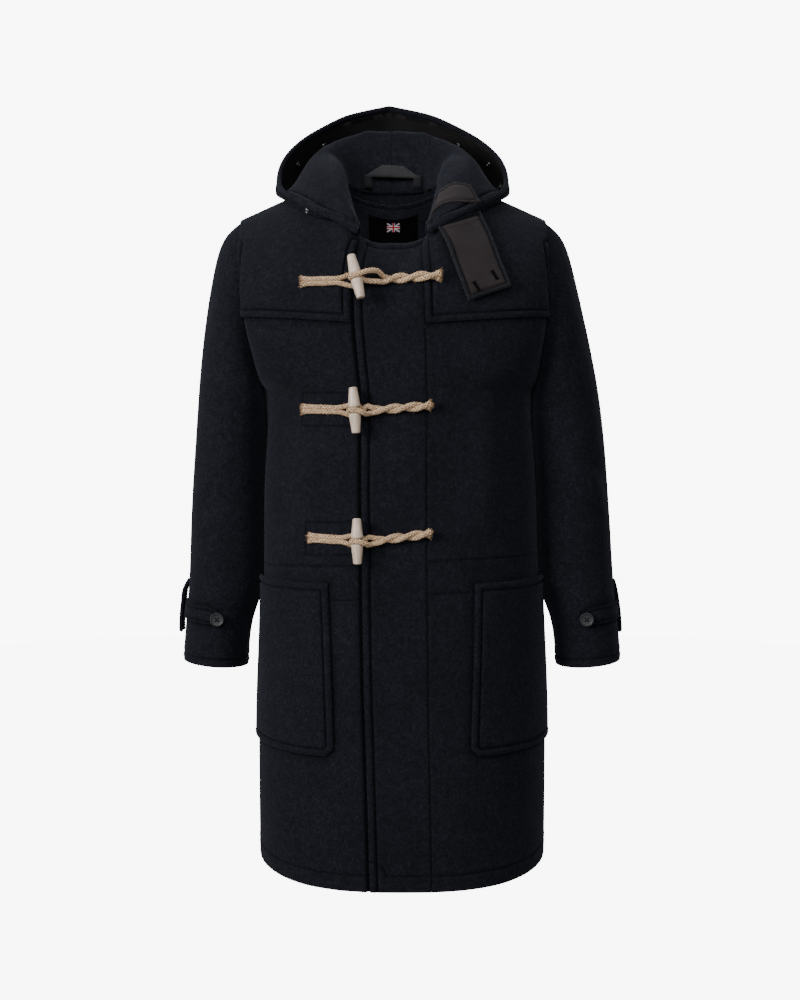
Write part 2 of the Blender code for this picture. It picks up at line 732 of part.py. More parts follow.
def make_neck_pieces(wool, webbing, label, back):
    middle = back.points.shape[1] // 2
    rows = [19, 20, 21, 21.4]
    places = [[(row, column) for column in range(middle - 5, middle + 6)] for row in rows]
    facing_top = -WOOL - PLY_GAP - 0.0009
    facing = patch(back, places)
    cloth_piece("neck_facing", facing, FACING, wool, facing_top)
    low = place_of(back, LABEL["half_width"], LABEL["low_z"])
    high = place_of(back, LABEL["half_width"], LABEL["high_z"])
    places = []
    for row in span(low[0], high[0]):
        outer = place_of_row(back, row, LABEL["half_width"]) - middle
        places.append([(row, middle + c) for c in span(-outer, outer)])
    label_top = facing_top - FACING - PLY_GAP
    cloth_piece("neck_label", patch(back, places), LABEL["thickness"], label, label_top)
    make_hanger_loop(webbing)


LABEL = {"half_width": 0.037, "low_z": -0.026, "high_z": 0.012, "thickness": 0.0006}


def place_of_row(grid, row, x):
    across = [between(grid.points, row, j)[0] for j in range(grid.points.shape[1])]
    return float(np.interp(x, across, range(len(across))))


HANGER = {"y": 0.0520, "base_z": 0.0425, "half_width": 0.0432, "band": 0.0165, "height": 0.0335}
HANGER.update({"leg": 0.018, "top_half_width": 0.0155, "thickness": 0.0012})


def make_hanger_loop(webbing):
    """A flat band in the shape of an arch, sewn in at both feet."""
    wide, band, tall = HANGER["half_width"], HANGER["band"], HANGER["height"]
    leg, top = HANGER["leg"], HANGER["top_half_width"]
    outline = [(-wide, 0.0), (-wide, leg + 0.002), (-top, tall), (top, tall)]
    outline += [(wide, leg + 0.002), (wide, 0.0)]
    outline += [(wide - band, 0.0), (wide - band, leg * 0.6), (top - 0.004, tall - band)]
    outline += [(0.004 - top, tall - band), (band - wide, leg * 0.6), (band - wide, 0.0)]
    data = bpy.data.curves.new("hanger_loop", "CURVE")
    data.dimensions = "2D"
    data.fill_mode = "BOTH"
    data.extrude = HANGER["thickness"] / 2
    spline = data.splines.new("POLY")
    spline.points.add(len(outline) - 1)
    for k, (x, y) in enumerate(outline):
        spline.points[k].co = (x, y, 0.0, 1.0)
    spline.use_cyclic_u = True
    thing = add_object("hanger_loop", data, webbing)
    base = lean([(0.0, HANGER["y"], HANGER["base_z"])])[0]
    thing.matrix_world = Matrix.Translation(Vector(base)) @ Matrix.Rotation(math.radians(90), 4, "X")


TAB = {"top": (0.0958, -0.0320), "end": (0.1290, -0.1310), "half_width": 0.031, "thickness": 0.0045}
TAB.update({"lift": 0.0030, "curl": 0.004})
# the patch's two ends, as (row, column) of its high and low corners on the hood
PATCH = {"inner_end": ((2.1, 14.8), (3.1, 15.7)), "outer_end": ((5.1, 13.2), (7.3, 13.3))}
PATCH.update({"steps_along": 9, "steps_down": 5, "thickness": 0.0025, "gap": 0.0018})


def make_throat_pieces(charcoal, left, hood):
    """The tab that hangs on the left yoke, and the patch inside the hood above it."""
    top, end = np.array(TAB["top"]), np.array(TAB["end"])
    across = np.array([end[1] - top[1], top[0] - end[0]])
    across = across / np.linalg.norm(across) * TAB["half_width"]
    points, out = [], []
    for k in range(6):
        share = k / 5
        middle = top + (end - top) * share
        places = [middle + across * side for side in (-1, -0.33, 0.33, 1)]
        lift = YOKE_TOP + TAB["lift"] + TAB["curl"] * share**3
        row = [on_grid(left, *place, lift) for place in places]
        points.append([point for point, _ in row])
        out.append([direction for _, direction in row])
    tab = Grid(np.array(points), np.array(out))
    cloth_piece("throat_tab", tab, TAB["thickness"], charcoal, TAB["thickness"])
    inner, outer = np.array(PATCH["inner_end"]), np.array(PATCH["outer_end"])
    places = []
    for along in np.linspace(0.0, 1.0, PATCH["steps_along"]):
        high, low = inner + (outer - inner) * along
        places.append([tuple(high + (low - high) * down) for down in np.linspace(0.0, 1.0, PATCH["steps_down"])])
    cloth_piece("throat_patch", patch(hood, places), PATCH["thickness"], charcoal, -WOOL - PATCH["gap"])


# ---- toggles and their cords ----
Toggle = namedtuple("Toggle", "x z tilt cord_x cord_z loop_x loop_z fork base")
TOGGLES = [
    Toggle(-0.0521, -0.1125, 12.0, -0.1250, -0.1143, 0.0630, -0.1075, 0.039, YOKE_TOP),
    Toggle(-0.0582, -0.2886, 4.0, -0.1318, -0.2869, 0.0428, -0.2822, 0.024, 0.0),
    Toggle(-0.0575, -0.4683, 1.0, -0.1258, -0.4662, 0.0401, -0.4579, 0.024, 0.0),
]
TOGGLE = {"half_length": 0.0316, "radius": 0.0088, "end_radius": 0.0058, "groove": 0.0045}
TOGGLE["groove_half"] = 0.0036
FLAT_CORD = {"radius": 0.0030, "spacing": 0.00315, "eye": 0.0080, "reach": 0.0053}
TWISTED_CORD = {"radius": 0.0026, "twist_share": 1.16, "turns": 1.4, "gap": 0.0004}


def toggle_axis_lift(toggle):
    """Height of a toggle's axis over the front, above the flat cord's eye and the twisted cord."""
    eye = toggle.base + PLY_GAP + 2 * FLAT_CORD["radius"]
    return eye + PLY_GAP + 2 * TWISTED_CORD["radius"] + PLY_GAP + TOGGLE["groove"]


def make_toggle(number, toggle, fronts, bone):
    length, radius, end = TOGGLE["half_length"], TOGGLE["radius"], TOGGLE["end_radius"]
    half = TOGGLE["groove_half"]
    profile = [(0.0, length), (end - 0.0014, length), (end, length - 0.0014), (radius, half + 0.0012)]
    profile += [(TOGGLE["groove"], half), (TOGGLE["groove"], -half), (radius, -half - 0.0012)]
    profile += [(end, 0.0014 - length), (end - 0.0014, -length), (0.0, -length)]
    turned(f"toggle_{number}", profile, 16, bone, toggle_place(toggle, fronts))


def toggle_place(toggle, fronts):
    point, out = on_front(fronts, toggle.x, toggle.z, toggle_axis_lift(toggle))
    return standing(point, out, math.radians(toggle.tilt))


def smooth_route(route, step):
    """Points about this far apart on a smooth curve through the route."""
    route = np.array(route, float)
    keys = np.concatenate([[0.0], np.cumsum(np.linalg.norm(np.diff(route, axis=0), axis=1))])
    count = max(2, int(round(keys[-1] / step)))
    return np.array([smooth_read(keys[-1] * k / count, keys, route) for k in range(count + 1)])


def on_front(fronts, x, z, lift):
    """A point this far above whichever front is on top there, and the direction out of it."""
    left, right = fronts
    return on_grid(left if x > placket_edge(z) else right, x, z, lift)


def laid(fronts, route):
    """Turns a route of (x, z, lift) over the fronts into points in space."""
    return [on_front(fronts, *place)[0] for place in route]


def make_flat_cord(number, toggle, fronts, jute):
    """A cord doubled side by side, its bight forming an eye behind the toggle."""
    radius, spacing, eye = FLAT_CORD["radius"], FLAT_CORD["spacing"], FLAT_CORD["eye"]
    lift = toggle.base + PLY_GAP + radius
    run = toggle.x - toggle.cord_x
    fall = toggle.z - toggle.cord_z

    def half(way):
        shares = [(0.0, spacing + 0.0006), (0.14, spacing), (0.45, spacing), (0.68, spacing)]
        shares += [(0.84, eye - 0.002), (0.95, eye)]
        return [(toggle.cord_x + run * s, toggle.cord_z + fall * s + way * off, lift) for s, off in shares]

    bight = [(toggle.x + 0.004, toggle.z + eye * 0.75, lift)]
    bight += [(toggle.x + FLAT_CORD["reach"] + 0.0008, toggle.z, lift)]
    bight += [(toggle.x + 0.004, toggle.z - eye * 0.75, lift)]
    route = smooth_route(laid(fronts, half(1) + bight + half(-1)[::-1]), 0.0075)
    tube(f"flat_cord_{number}", lean(route), radius, jute, (1.12, 1.05))


def make_twisted_cord(number, toggle, fronts, jute):
    """A cord doubled and twisted, its bight passing once round the toggle's groove."""
    radius = TWISTED_CORD["radius"]
    wrap = TOGGLE["groove"] + PLY_GAP + radius
    axis = toggle_axis_lift(toggle)
    thick = radius * TWISTED_CORD["twist_share"]
    coil = thick + TWISTED_CORD["gap"] / 2
    start = toggle.x + toggle.fork
    end_base = YOKE_TOP if toggle.loop_x > YOKE_INNER_X else 0.0
    cross = 1 if toggle.tilt > 10 else -1
    spread = [(toggle.fork - 0.010, 0.0050), (0.0120, 0.0030)]  # along from the axis, and up or down

    def strand(way):
        points = []
        steps = 14
        for k in range(steps + 1):
            share = k / steps
            x = toggle.loop_x + (start - toggle.loop_x) * share
            z = toggle.loop_z + (toggle.z - toggle.loop_z) * share
            angle = 2 * math.pi * TWISTED_CORD["turns"] * (1 - share) + math.pi / 2
            base = end_base * smoothstep(x, YOKE_INNER_X - 0.012, YOKE_INNER_X - 0.004)
            lift = base + PLY_GAP + coil + thick + way * coil * math.cos(angle)
            points.append((x, z + way * coil * math.sin(angle), lift))
        return points

    heights = ((axis - 0.004, axis + wrap * 0.75), (axis - wrap - 0.0012, axis - wrap - 0.0002))
    legs = []
    for way, lifts in zip((cross, -cross), heights):
        leg = [(toggle.x + x, toggle.z + way * off, lift) for (x, off), lift in zip(spread, lifts)]
        legs.append(laid(fronts, strand(way) + leg))
    place = toggle_place(toggle, fronts)
    turn = []
    for degrees in (70, 105, 140, 180, 220, 255, 290):
        angle = math.radians(degrees)
        local = Vector((math.sin(angle) * wrap, math.cos(angle) * wrap, 0.0))
        turn.append(place @ local)
    route = smooth_route(legs[0] + turn + legs[1][::-1], 0.0060)
    cord = tube(f"twisted_cord_{number}", lean(route), radius, jute, (1.45, 1.25))
    for point, place in zip(cord.data.splines[0].points, route):
        if place[0] > start and point.radius == 1.0:
            point.radius = TWISTED_CORD["twist_share"]


# ---- cuffs ----
CUFF = {"low_z": -0.593, "high_z": -0.568, "front_angle": 96.0, "point_angle": 84.0, "back_angle": -120.0}
CUFF_TAB = {"top_z": -0.538, "end_z": -0.616, "half_width": 0.013, "thickness": 0.0045}
CUFF_TAB_STAND = {"left": (0.0006, 0.0038), "right": (0.0040, 0.0045)}  # off the sleeve, and how much more
BUTTON = {"radius": 0.0112, "thickness": 0.0036, "rim": 0.0022, "angle": 93.0, "z": -0.5835}


def sleeve_point(z_outer, angle, lift):
    """A point over the wearer's left sleeve, by the height of its ring's outer point and the angle."""
    heights = [row.out_z for row in SLEEVE]
    row = SleeveRing(*smooth_read(-z_outer, [-z for z in heights], [list(r) for r in SLEEVE]))
    point = ring_of(row, angle)
    ahead = ring_of(row, angle + 0.05) - ring_of(row, angle - 0.05)
    down = SleeveRing(*smooth_read(-z_outer + 0.01, [-z for z in heights], [list(r) for r in SLEEVE]))
    out = np.cross(ring_of(down, angle) - point, ahead)
    middle = (ring_of(row, 0.0) + ring_of(row, math.pi)) / 2
    out = out / np.linalg.norm(out)
    if np.dot(out, point - middle) < 0:
        out = -out
    return point + out * lift, out


def make_cuff(name, way, wool, horn):
    flip = np.array([way, 1.0, 1.0])

    def piece(title, places, thickness, material, lift):
        spots = [[sleeve_point(z, math.radians(a), extra) for z, a, extra in row] for row in places]
        points = [[point * flip for point, _ in row] for row in spots]
        out = [[direction * flip for _, direction in row] for row in spots]
        cloth_piece(title, Grid(np.array(points), np.array(out)), thickness, material, lift)

    middle = (CUFF["low_z"] + CUFF["high_z"]) / 2
    angles = [CUFF["back_angle"] + 20.0 * k for k in range(11)]
    rows = []
    for z in (CUFF["low_z"], CUFF["high_z"]):
        pointed = middle + (z - middle) * 0.45
        rows.append([(z, angle, 0.0) for angle in angles] + [(pointed, CUFF["front_angle"], 0.0)])
    piece(f"cuff_strap_{name}", rows, FACING, wool, FACING + PLY_GAP + 0.0012)
    reach = math.degrees(CUFF_TAB["half_width"] / 0.06)
    near, more = CUFF_TAB_STAND[name]
    rows = []
    for k in range(6):
        share = k / 5
        z = CUFF_TAB["top_z"] + (CUFF_TAB["end_z"] - CUFF_TAB["top_z"]) * share
        stand = near + more * math.sin(math.pi * (0.12 + 0.62 * share))
        stand = 0.0006 if k == 0 else stand
        rows.append([(z, angle, stand) for angle in (-reach, 0.0, reach)])
    piece(f"cuff_tab_{name}", rows, CUFF_TAB["thickness"], wool, CUFF_TAB["thickness"])
    height = 2 * FACING + PLY_GAP + 0.0016
    point, out = sleeve_point(BUTTON["z"], math.radians(BUTTON["angle"]), height)
    radius, thick, rim = BUTTON["radius"], BUTTON["thickness"], BUTTON["rim"]
    dish, side = thick - 0.0012, radius - rim
    profile = [(0.0, dish), (side - 0.001, dish), (side, thick), (radius - 0.0006, thick)]
    profile += [(radius, thick - 0.0008), (radius, 0.0010), (radius - 0.002, 0.0), (0.0, 0.0)]
    turned(f"cuff_button_{name}", profile, 24, horn, lying(point * flip, out * flip))


# ---- press studs on the hood: station and row on the hood's grid, and the face they sit on ----
Stud = namedtuple("Stud", "column row outside")
STUDS = [
    Stud(-13.5, 9.6, True),
    Stud(-6.5, 10.25, False),
    Stud(-4.2, 10.5, False),
    Stud(4.2, 10.5, False),
    Stud(6.7, 10.3, False),
    Stud(8.5, 9.2, False),
]
STUD = {"radius": 0.0045, "height": 0.0024}


def make_studs(steel, hood, middle):
    radius, height = STUD["radius"], STUD["height"]
    profile = [(0.0, height), (radius * 0.5, height), (radius * 0.62, height * 0.55)]
    profile += [(radius, height * 0.4), (radius, 0.0), (0.0, 0.0)]
    for number, stud in enumerate(STUDS, 1):
        place = (stud.row, middle + stud.column)
        point, out = between(hood.points, *place), between(hood.out, *place)
        out = out / np.linalg.norm(out)
        inside = WOOL + HOOD_FACING_GAP + FACING
        point = point + out * 0.0015 if stud.outside else point - out * (inside + 0.0012)
        turned(f"press_stud_{number}", profile, 12, steel, lying(point, out if stud.outside else -out))


def main():
    clear_scene()
    bpy.context.scene.collection.children.link(coat)
    wool = finish("navy_wool", (0.022, 0.030, 0.052), 0.95)
    charcoal = finish("charcoal_cloth", (0.060, 0.052, 0.055), 0.90)
    lining = finish("dark_facing", (0.020, 0.016, 0.016), 0.60)
    webbing = finish("loop_cloth", (0.060, 0.066, 0.078), 0.80)
    label = finish("label_cloth", (0.010, 0.012, 0.010), 0.70)
    jute = finish("jute", (0.60, 0.47, 0.32), 0.90)
    bone = finish("bone", (0.78, 0.72, 0.64), 0.45)
    horn = finish("dark_horn", (0.12, 0.13, 0.15), 0.40)
    steel = finish("stud_steel", (0.55, 0.56, 0.58), 0.30, 1.0)

    left, right, back = left_front(), right_front(), back_panel()
    make_body(wool, left, right, back)
    make_yokes(wool, left, right, back)
    make_sleeves(wool, sleeve_grid())
    below = [(grid, lift) for grid in (left, right, back) for lift in (0.0, YOKE_TOP)]
    hood, middle = make_hood(wool, lining, hood_grid(below))
    half = Grid(hood.points[:, middle:], hood.out[:, middle:])
    make_pockets(wool, left, right)
    make_neck_pieces(wool, webbing, label, back)
    make_throat_pieces(charcoal, left, half)
    for number, toggle in enumerate(TOGGLES, 1):
        make_toggle(number, toggle, (left, right), bone)
        make_flat_cord(number, toggle, (left, right), jute)
        make_twisted_cord(number, toggle, (left, right), jute)
    make_cuff("left", LEFT, wool, horn)
    make_cuff("right", RIGHT, wool, horn)
    make_studs(steel, hood, middle)


main()
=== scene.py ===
import math

import bmesh
import bpy
import numpy as np
from mathutils import Matrix, Vector
from mathutils.bvhtree import BVHTree
from mathutils.kdtree import KDTree


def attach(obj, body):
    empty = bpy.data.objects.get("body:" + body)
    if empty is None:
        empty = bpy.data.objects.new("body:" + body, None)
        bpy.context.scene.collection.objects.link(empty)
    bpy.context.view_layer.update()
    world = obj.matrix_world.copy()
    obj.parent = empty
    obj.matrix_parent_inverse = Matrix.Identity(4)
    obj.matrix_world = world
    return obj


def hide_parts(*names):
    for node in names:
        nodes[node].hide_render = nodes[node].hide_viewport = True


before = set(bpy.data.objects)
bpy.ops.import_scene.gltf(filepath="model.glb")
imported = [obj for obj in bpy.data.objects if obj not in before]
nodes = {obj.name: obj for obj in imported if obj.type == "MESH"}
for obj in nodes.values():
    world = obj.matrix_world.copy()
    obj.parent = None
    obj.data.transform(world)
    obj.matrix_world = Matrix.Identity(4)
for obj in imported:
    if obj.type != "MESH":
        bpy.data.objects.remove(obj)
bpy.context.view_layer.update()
draws = np.random.default_rng(11)
print("frame loaded,", len(nodes), "nodes")


def smoothStep(value, low, high):
    share = np.clip((value - low) / (high - low), 0.0, 1.0)
    return share * share * (3.0 - 2.0 * share)


def unit(vectors):
    vectors = np.asarray(vectors, float)
    return vectors / np.maximum(np.linalg.norm(vectors, axis=-1, keepdims=True), 1e-12)


class Shader:
    # a small helper that wires one material's nodes
    def __init__(self, name):
        self.material = bpy.data.materials.new(name)
        self.material.use_nodes = True
        self.tree = self.material.node_tree
        self.main = self.tree.nodes["Principled BSDF"]
        self.place = self.add("ShaderNodeTexCoord").outputs["Object"]

    def add(self, kind, values=None, **settings):
        made = self.tree.nodes.new(kind)
        for key, value in settings.items():
            setattr(made, key, value)
        for key, value in (values or {}).items():
            if isinstance(value, bpy.types.NodeSocket):
                self.tree.links.new(value, made.inputs[key])
            else:
                made.inputs[key].default_value = value
        return made

    def set(self, **values):
        for key, value in values.items():
            name = key.replace("_", " ")
            if isinstance(value, bpy.types.NodeSocket):
                self.tree.links.new(value, self.main.inputs[name])
            else:
                self.main.inputs[name].default_value = value
        return self

    def math(self, operation, first, second=0.0, third=0.0):
        values = {0: first, 1: second, 2: third}
        return self.add("ShaderNodeMath", values, operation=operation).outputs[0]

    def noise(self, scale, detail=2.0, roughness=0.5, place=None):
        values = {"Scale": scale, "Detail": detail, "Roughness": roughness, "Vector": place or self.place}
        return self.add("ShaderNodeTexNoise", values).outputs["Fac"]

    def stretched(self, scale, turn=(0.0, 0.0, 0.0), place=None):
        values = {"Vector": place or self.place, "Scale": scale, "Rotation": turn}
        return self.add("ShaderNodeMapping", values).outputs[0]

    def ramp(self, value, *stops):
        made = self.add("ShaderNodeValToRGB", {"Fac": value})
        while len(made.color_ramp.elements) < len(stops):
            made.color_ramp.elements.new(0.5)
        for element, (position, colour) in zip(made.color_ramp.elements, stops):
            element.position = position
            element.color = (*colour, 1.0)
        return made.outputs["Color"]

    def mix(self, share, first, second, blend="MIX"):
        made = self.add("ShaderNodeMix", data_type="RGBA", blend_type=blend)
        for index, value in ((0, share), (6, first), (7, second)):
            if isinstance(value, bpy.types.NodeSocket):
                self.tree.links.new(value, made.inputs[index])
            elif index:
                made.inputs[index].default_value = (*value, 1.0)
            else:
                made.inputs[index].default_value = value
        return made.outputs[2]

    def attribute(self, name):
        return self.add("ShaderNodeAttribute", attribute_name=name).outputs["Fac"]

    def bump(self, height, distance, strength=1.0, before=None):
        values = {"Height": height, "Distance": distance, "Strength": strength}
        if before is not None:
            values["Normal"] = before
        return self.add("ShaderNodeBump", values).outputs["Normal"]


woolLook = {
    "deep": (0.0043, 0.0047, 0.0068),
    "mid": (0.0068, 0.0074, 0.0104),
    "light": (0.0125, 0.0134, 0.0178),
    "fibre": (0.0100, 0.0106, 0.0134),
    "napScale": 1100.0,  # fine fibres
    "lumpScale": 300.0,  # felted lumps, about 3 mm
    "tuftScale": 115.0,  # raised tufts, about 8 mm
    "cloudScale": 14.0,
    "lumpHeight": 0.0012,
    "napHeight": 0.00035,
    "sheen": 0.07,
}


def woolColour(shader):
    look = woolLook
    tuft = shader.noise(look["tuftScale"], 3.0, 0.6)
    lump = shader.math("MULTIPLY", shader.noise(look["lumpScale"], 3.0, 0.65), 0.70)
    lump = shader.math("MULTIPLY_ADD", tuft, 0.30, lump)
    nap = shader.noise(look["napScale"], 2.0, 0.7)
    cloud = shader.noise(look["cloudScale"], 3.0, 0.55)
    body = shader.ramp(lump, (0.36, look["deep"]), (0.50, look["mid"]), (0.66, look["light"]))
    fibres = shader.ramp(nap, (0.56, (0.0, 0.0, 0.0)), (0.80, look["fibre"]))
    body = shader.mix(1.0, body, fibres, "ADD")
    shade = shader.ramp(cloud, (0.30, (0.88, 0.88, 0.89)), (0.72, (1.10, 1.10, 1.12)))
    body = shader.mix(1.0, body, shade, "MULTIPLY")
    # painted shade: darker in the sewn grooves and under the edges of pieces that lie on this one
    paintedShade = shader.ramp(shader.attribute("seamShade"), (0.0, (1.0, 1.0, 1.0)), (1.0, (0.28, 0.28, 0.30)))
    return shader.mix(1.0, body, paintedShade, "MULTIPLY"), lump, nap


def woolBump(shader, lump, nap):
    curl = shader.noise(180.0, 4.0, 0.65, shader.stretched((1.0, 1.0, 0.6)))
    height = shader.math("ADD", lump, shader.math("MULTIPLY", curl, 0.6))
    coarse = shader.bump(height, woolLook["lumpHeight"], 0.8)
    return shader.bump(nap, woolLook["napHeight"], 0.7, coarse)


def makeWool():
    shader = Shader("navyWool")
    body, lump, nap = woolColour(shader)
    shader.set(Base_Color=body, Roughness=0.95, Normal=woolBump(shader, lump, nap))
    shader.set(Sheen_Weight=woolLook["sheen"], Sheen_Roughness=0.45, Sheen_Tint=(0.62, 0.66, 0.84, 1.0))
    shader.set(Specular_IOR_Level=0.06)
    return shader.material


clothLooks = {
    # name: deep, light, weave scale, bump, sheen
    "hoodFacing": ((0.0016, 0.0012, 0.0012), (0.0042, 0.0031, 0.0030), 1500.0, 0.00012, 0.02),
    "charcoalTwill": ((0.0150, 0.0118, 0.0125), (0.0260, 0.0205, 0.0216), 1300.0, 0.00014, 0.06),
    "loopTwill": ((0.0120, 0.0122, 0.0136), (0.0260, 0.0264, 0.0292), 1200.0, 0.00020, 0.05),
    # a darker copy of loopTwill: painted shade for the hanger's legs behind its band
    "loopPaintedShade": ((0.0030, 0.0031, 0.0040), (0.0075, 0.0078, 0.0098), 1200.0, 0.00020, 0.02),
    "labelSatin": ((0.0003, 0.0003, 0.0003), (0.0007, 0.0007, 0.0006), 2200.0, 0.00005, 0.0),
}


def clothColour(shader, name):
    deep, light, scale = clothLooks[name][:3]
    twill = {"Scale": scale * 0.30, "Vector": shader.place, "Distortion": 2.0}
    across = shader.add("ShaderNodeTexWave", twill, bands_direction="DIAGONAL")
    grain = shader.noise(scale * 0.5, 2.0)
    height = shader.math("MULTIPLY", shader.math("ADD", across.outputs["Fac"], grain), 0.5)
    body = shader.ramp(height, (0.25, deep), (0.75, light))
    shade = shader.ramp(shader.noise(22.0, 3.0), (0.3, (0.80, 0.80, 0.80)), (0.7, (1.15, 1.15, 1.15)))
    body = shader.mix(1.0, body, shade, "MULTIPLY")
    # painted shade in the sewn grooves and under edges that lie on the cloth
    paintedShade = shader.ramp(shader.attribute("seamShade"), (0.0, (1.0, 1.0, 1.0)), (1.0, (0.35, 0.35, 0.35)))
    return shader.mix(1.0, body, paintedShade, "MULTIPLY"), height


def makeCloth(name):
    shader = Shader(name)
    depth, sheen = clothLooks[name][3:]
    body, height = clothColour(shader, name)
    shader.set(Base_Color=body, Roughness=0.82, Normal=shader.bump(height, depth, 0.8))
    shader.set(Sheen_Weight=sheen, Specular_IOR_Level=0.06 if name == "labelSatin" else 0.2)
    return shader.material


tabTurn = 0.0056  # how far the wool reaches in from the throat tab's edge


def makeTabCloth():
    # the throat tab: charcoal face, with the wool turned round its edge
    shader = Shader("throatTabCloth")
    face, _ = clothColour(shader, "charcoalTwill")
    edge, lump, nap = woolColour(shader)
    share = shader.math("LESS_THAN", shader.attribute("edgeGap"), tabTurn)
    body = shader.mix(share, face, edge)
    shader.set(Base_Color=body, Roughness=0.9, Normal=woolBump(shader, lump, nap), Specular_IOR_Level=0.15)
    shader.set(Sheen_Weight=0.08)
    return shader.material


juteLook = {
    "pale": (0.86, 0.66, 0.46),
    "mid": (0.46, 0.31, 0.18),
    "dark": (0.07, 0.034, 0.014),
}


def makeJute():
    look = juteLook
    shader = Shader("naturalCord")
    hairs = shader.noise(1300.0, 3.0, 0.7)
    patch = shader.noise(420.0, 3.0, 0.65)
    depth = shader.attribute("depth")  # 0 between the strands, 1 on top of them: painted shade between the strands
    height = shader.math("ADD", shader.math("MULTIPLY", depth, 0.75), shader.math("MULTIPLY", hairs, 0.45))
    # from dark to pale: painted shade between the strands, mixed with the hairs' own light and dark
    body = shader.ramp(height, (0.40, look["dark"]), (0.72, look["mid"]), (1.0, look["pale"]))
    dull, plain, bright = (0.52, 0.42, 0.34), (0.92, 0.88, 0.84), (1.16, 1.15, 1.14)
    tint = shader.ramp(patch, (0.36, dull), (0.50, plain), (0.64, bright))
    body = shader.mix(1.0, body, tint, "MULTIPLY")
    tone = shader.ramp(shader.attribute("tone"), (0.0, (0.86, 0.84, 0.80)), (1.0, (1.06, 1.05, 1.04)))
    body = shader.mix(1.0, body, tone, "MULTIPLY")
    shader.set(Base_Color=body, Roughness=0.85, Normal=shader.bump(hairs, 0.0005, 1.0), Sheen_Weight=0.06)
    return shader.material


def makeHorn():
    # turned pale horn: long faint streaks and a soft polish
    shader = Shader("paleHorn")
    streak = shader.noise(520.0, 4.0, 0.6, shader.stretched((1.0, 1.0, 0.08)))
    cloud = shader.noise(60.0, 3.0)
    deep, mid, light = (0.46, 0.33, 0.24), (0.61, 0.495, 0.405), (0.70, 0.61, 0.52)
    body = shader.ramp(streak, (0.30, deep), (0.50, mid), (0.72, light))
    tint = shader.ramp(cloud, (0.3, (0.90, 0.86, 0.80)), (0.7, (1.04, 1.03, 1.02)))
    body = shader.mix(1.0, body, tint, "MULTIPLY")
    pores = shader.noise(1500.0, 2.0)
    shader.set(Base_Color=body, Roughness=0.40, Normal=shader.bump(pores, 0.00006, 0.6))
    shader.set(Subsurface_Weight=0.08, Subsurface_Radius=(0.004, 0.0025, 0.0015))
    shader.set(Coat_Weight=0.12, Coat_Roughness=0.3)
    return shader.material


def makeDarkHorn():
    shader = Shader("darkHorn")
    swirl = shader.noise(240.0, 4.0, 0.6, shader.stretched((1.0, 1.0, 0.3)))
    deep, mid, light = (0.006, 0.006, 0.007), (0.015, 0.016, 0.018), (0.036, 0.035, 0.038)
    body = shader.ramp(swirl, (0.32, deep), (0.6, mid), (0.8, light))
    shader.set(Base_Color=body, Roughness=0.55, Coat_Weight=0.05, Coat_Roughness=0.4)
    shader.set(Normal=shader.bump(shader.noise(900.0), 0.00005, 0.5))
    return shader.material


def makeSteel():
    shader = Shader("studSteel")
    scratch = shader.noise(700.0, 3.0, 0.6, shader.stretched((1.0, 0.15, 1.0)))
    body = shader.ramp(scratch, (0.3, (0.05, 0.05, 0.052)), (0.7, (0.20, 0.20, 0.21)))
    rough = shader.add("ShaderNodeMapRange", {"Value": scratch, "To Min": 0.22, "To Max": 0.45}).outputs[0]
    shader.set(Base_Color=body, Metallic=0.92, Roughness=rough)
    return shader.material


def makePlain(name, deep, light, scale, roughness):
    shader = Shader(name)
    grain = shader.noise(scale, 3.0, 0.6)
    body = shader.ramp(grain, (0.3, deep), (0.7, light))
    shader.set(Base_Color=body, Roughness=roughness, Normal=shader.bump(grain, 0.00012, 0.6))
    shader.set(Specular_IOR_Level=0.06)
    return shader.material


wool = makeWool()
facingCloth = makeCloth("hoodFacing")
charcoalCloth = makeCloth("charcoalTwill")
tabCloth = makeTabCloth()
loopCloth = makeCloth("loopTwill")
loopPaintedShade = makeCloth("loopPaintedShade")
labelCloth = makeCloth("labelSatin")
jute = makeJute()
paleHorn = makeHorn()
darkHorn = makeDarkHorn()
steel = makeSteel()
thread = makePlain("navyThread", (0.0030, 0.0034, 0.0050), (0.0110, 0.0120, 0.0165), 2400.0, 0.7)
blackThread = makePlain("blackThread", (0.0012, 0.0012, 0.0013), (0.0040, 0.0040, 0.0044), 2400.0, 0.7)
print("materials made")


wall = 0.0032
forward, backward, leftward, rightward = (0, -1, 0), (0, 1, 0), (1, 0, 0), (-1, 0, 0)


def cloth(way, flat, area=None, thickness=wall, bothSides=False):
    # way: points out of its outer side. flat: the cut of what shows, width and length, and
    # area where that isn't a rectangle. bothSides: the inner side is seen as well
    return {"way": way, "flat": flat, "area": area, "thickness": thickness, "bothSides": bothSides}


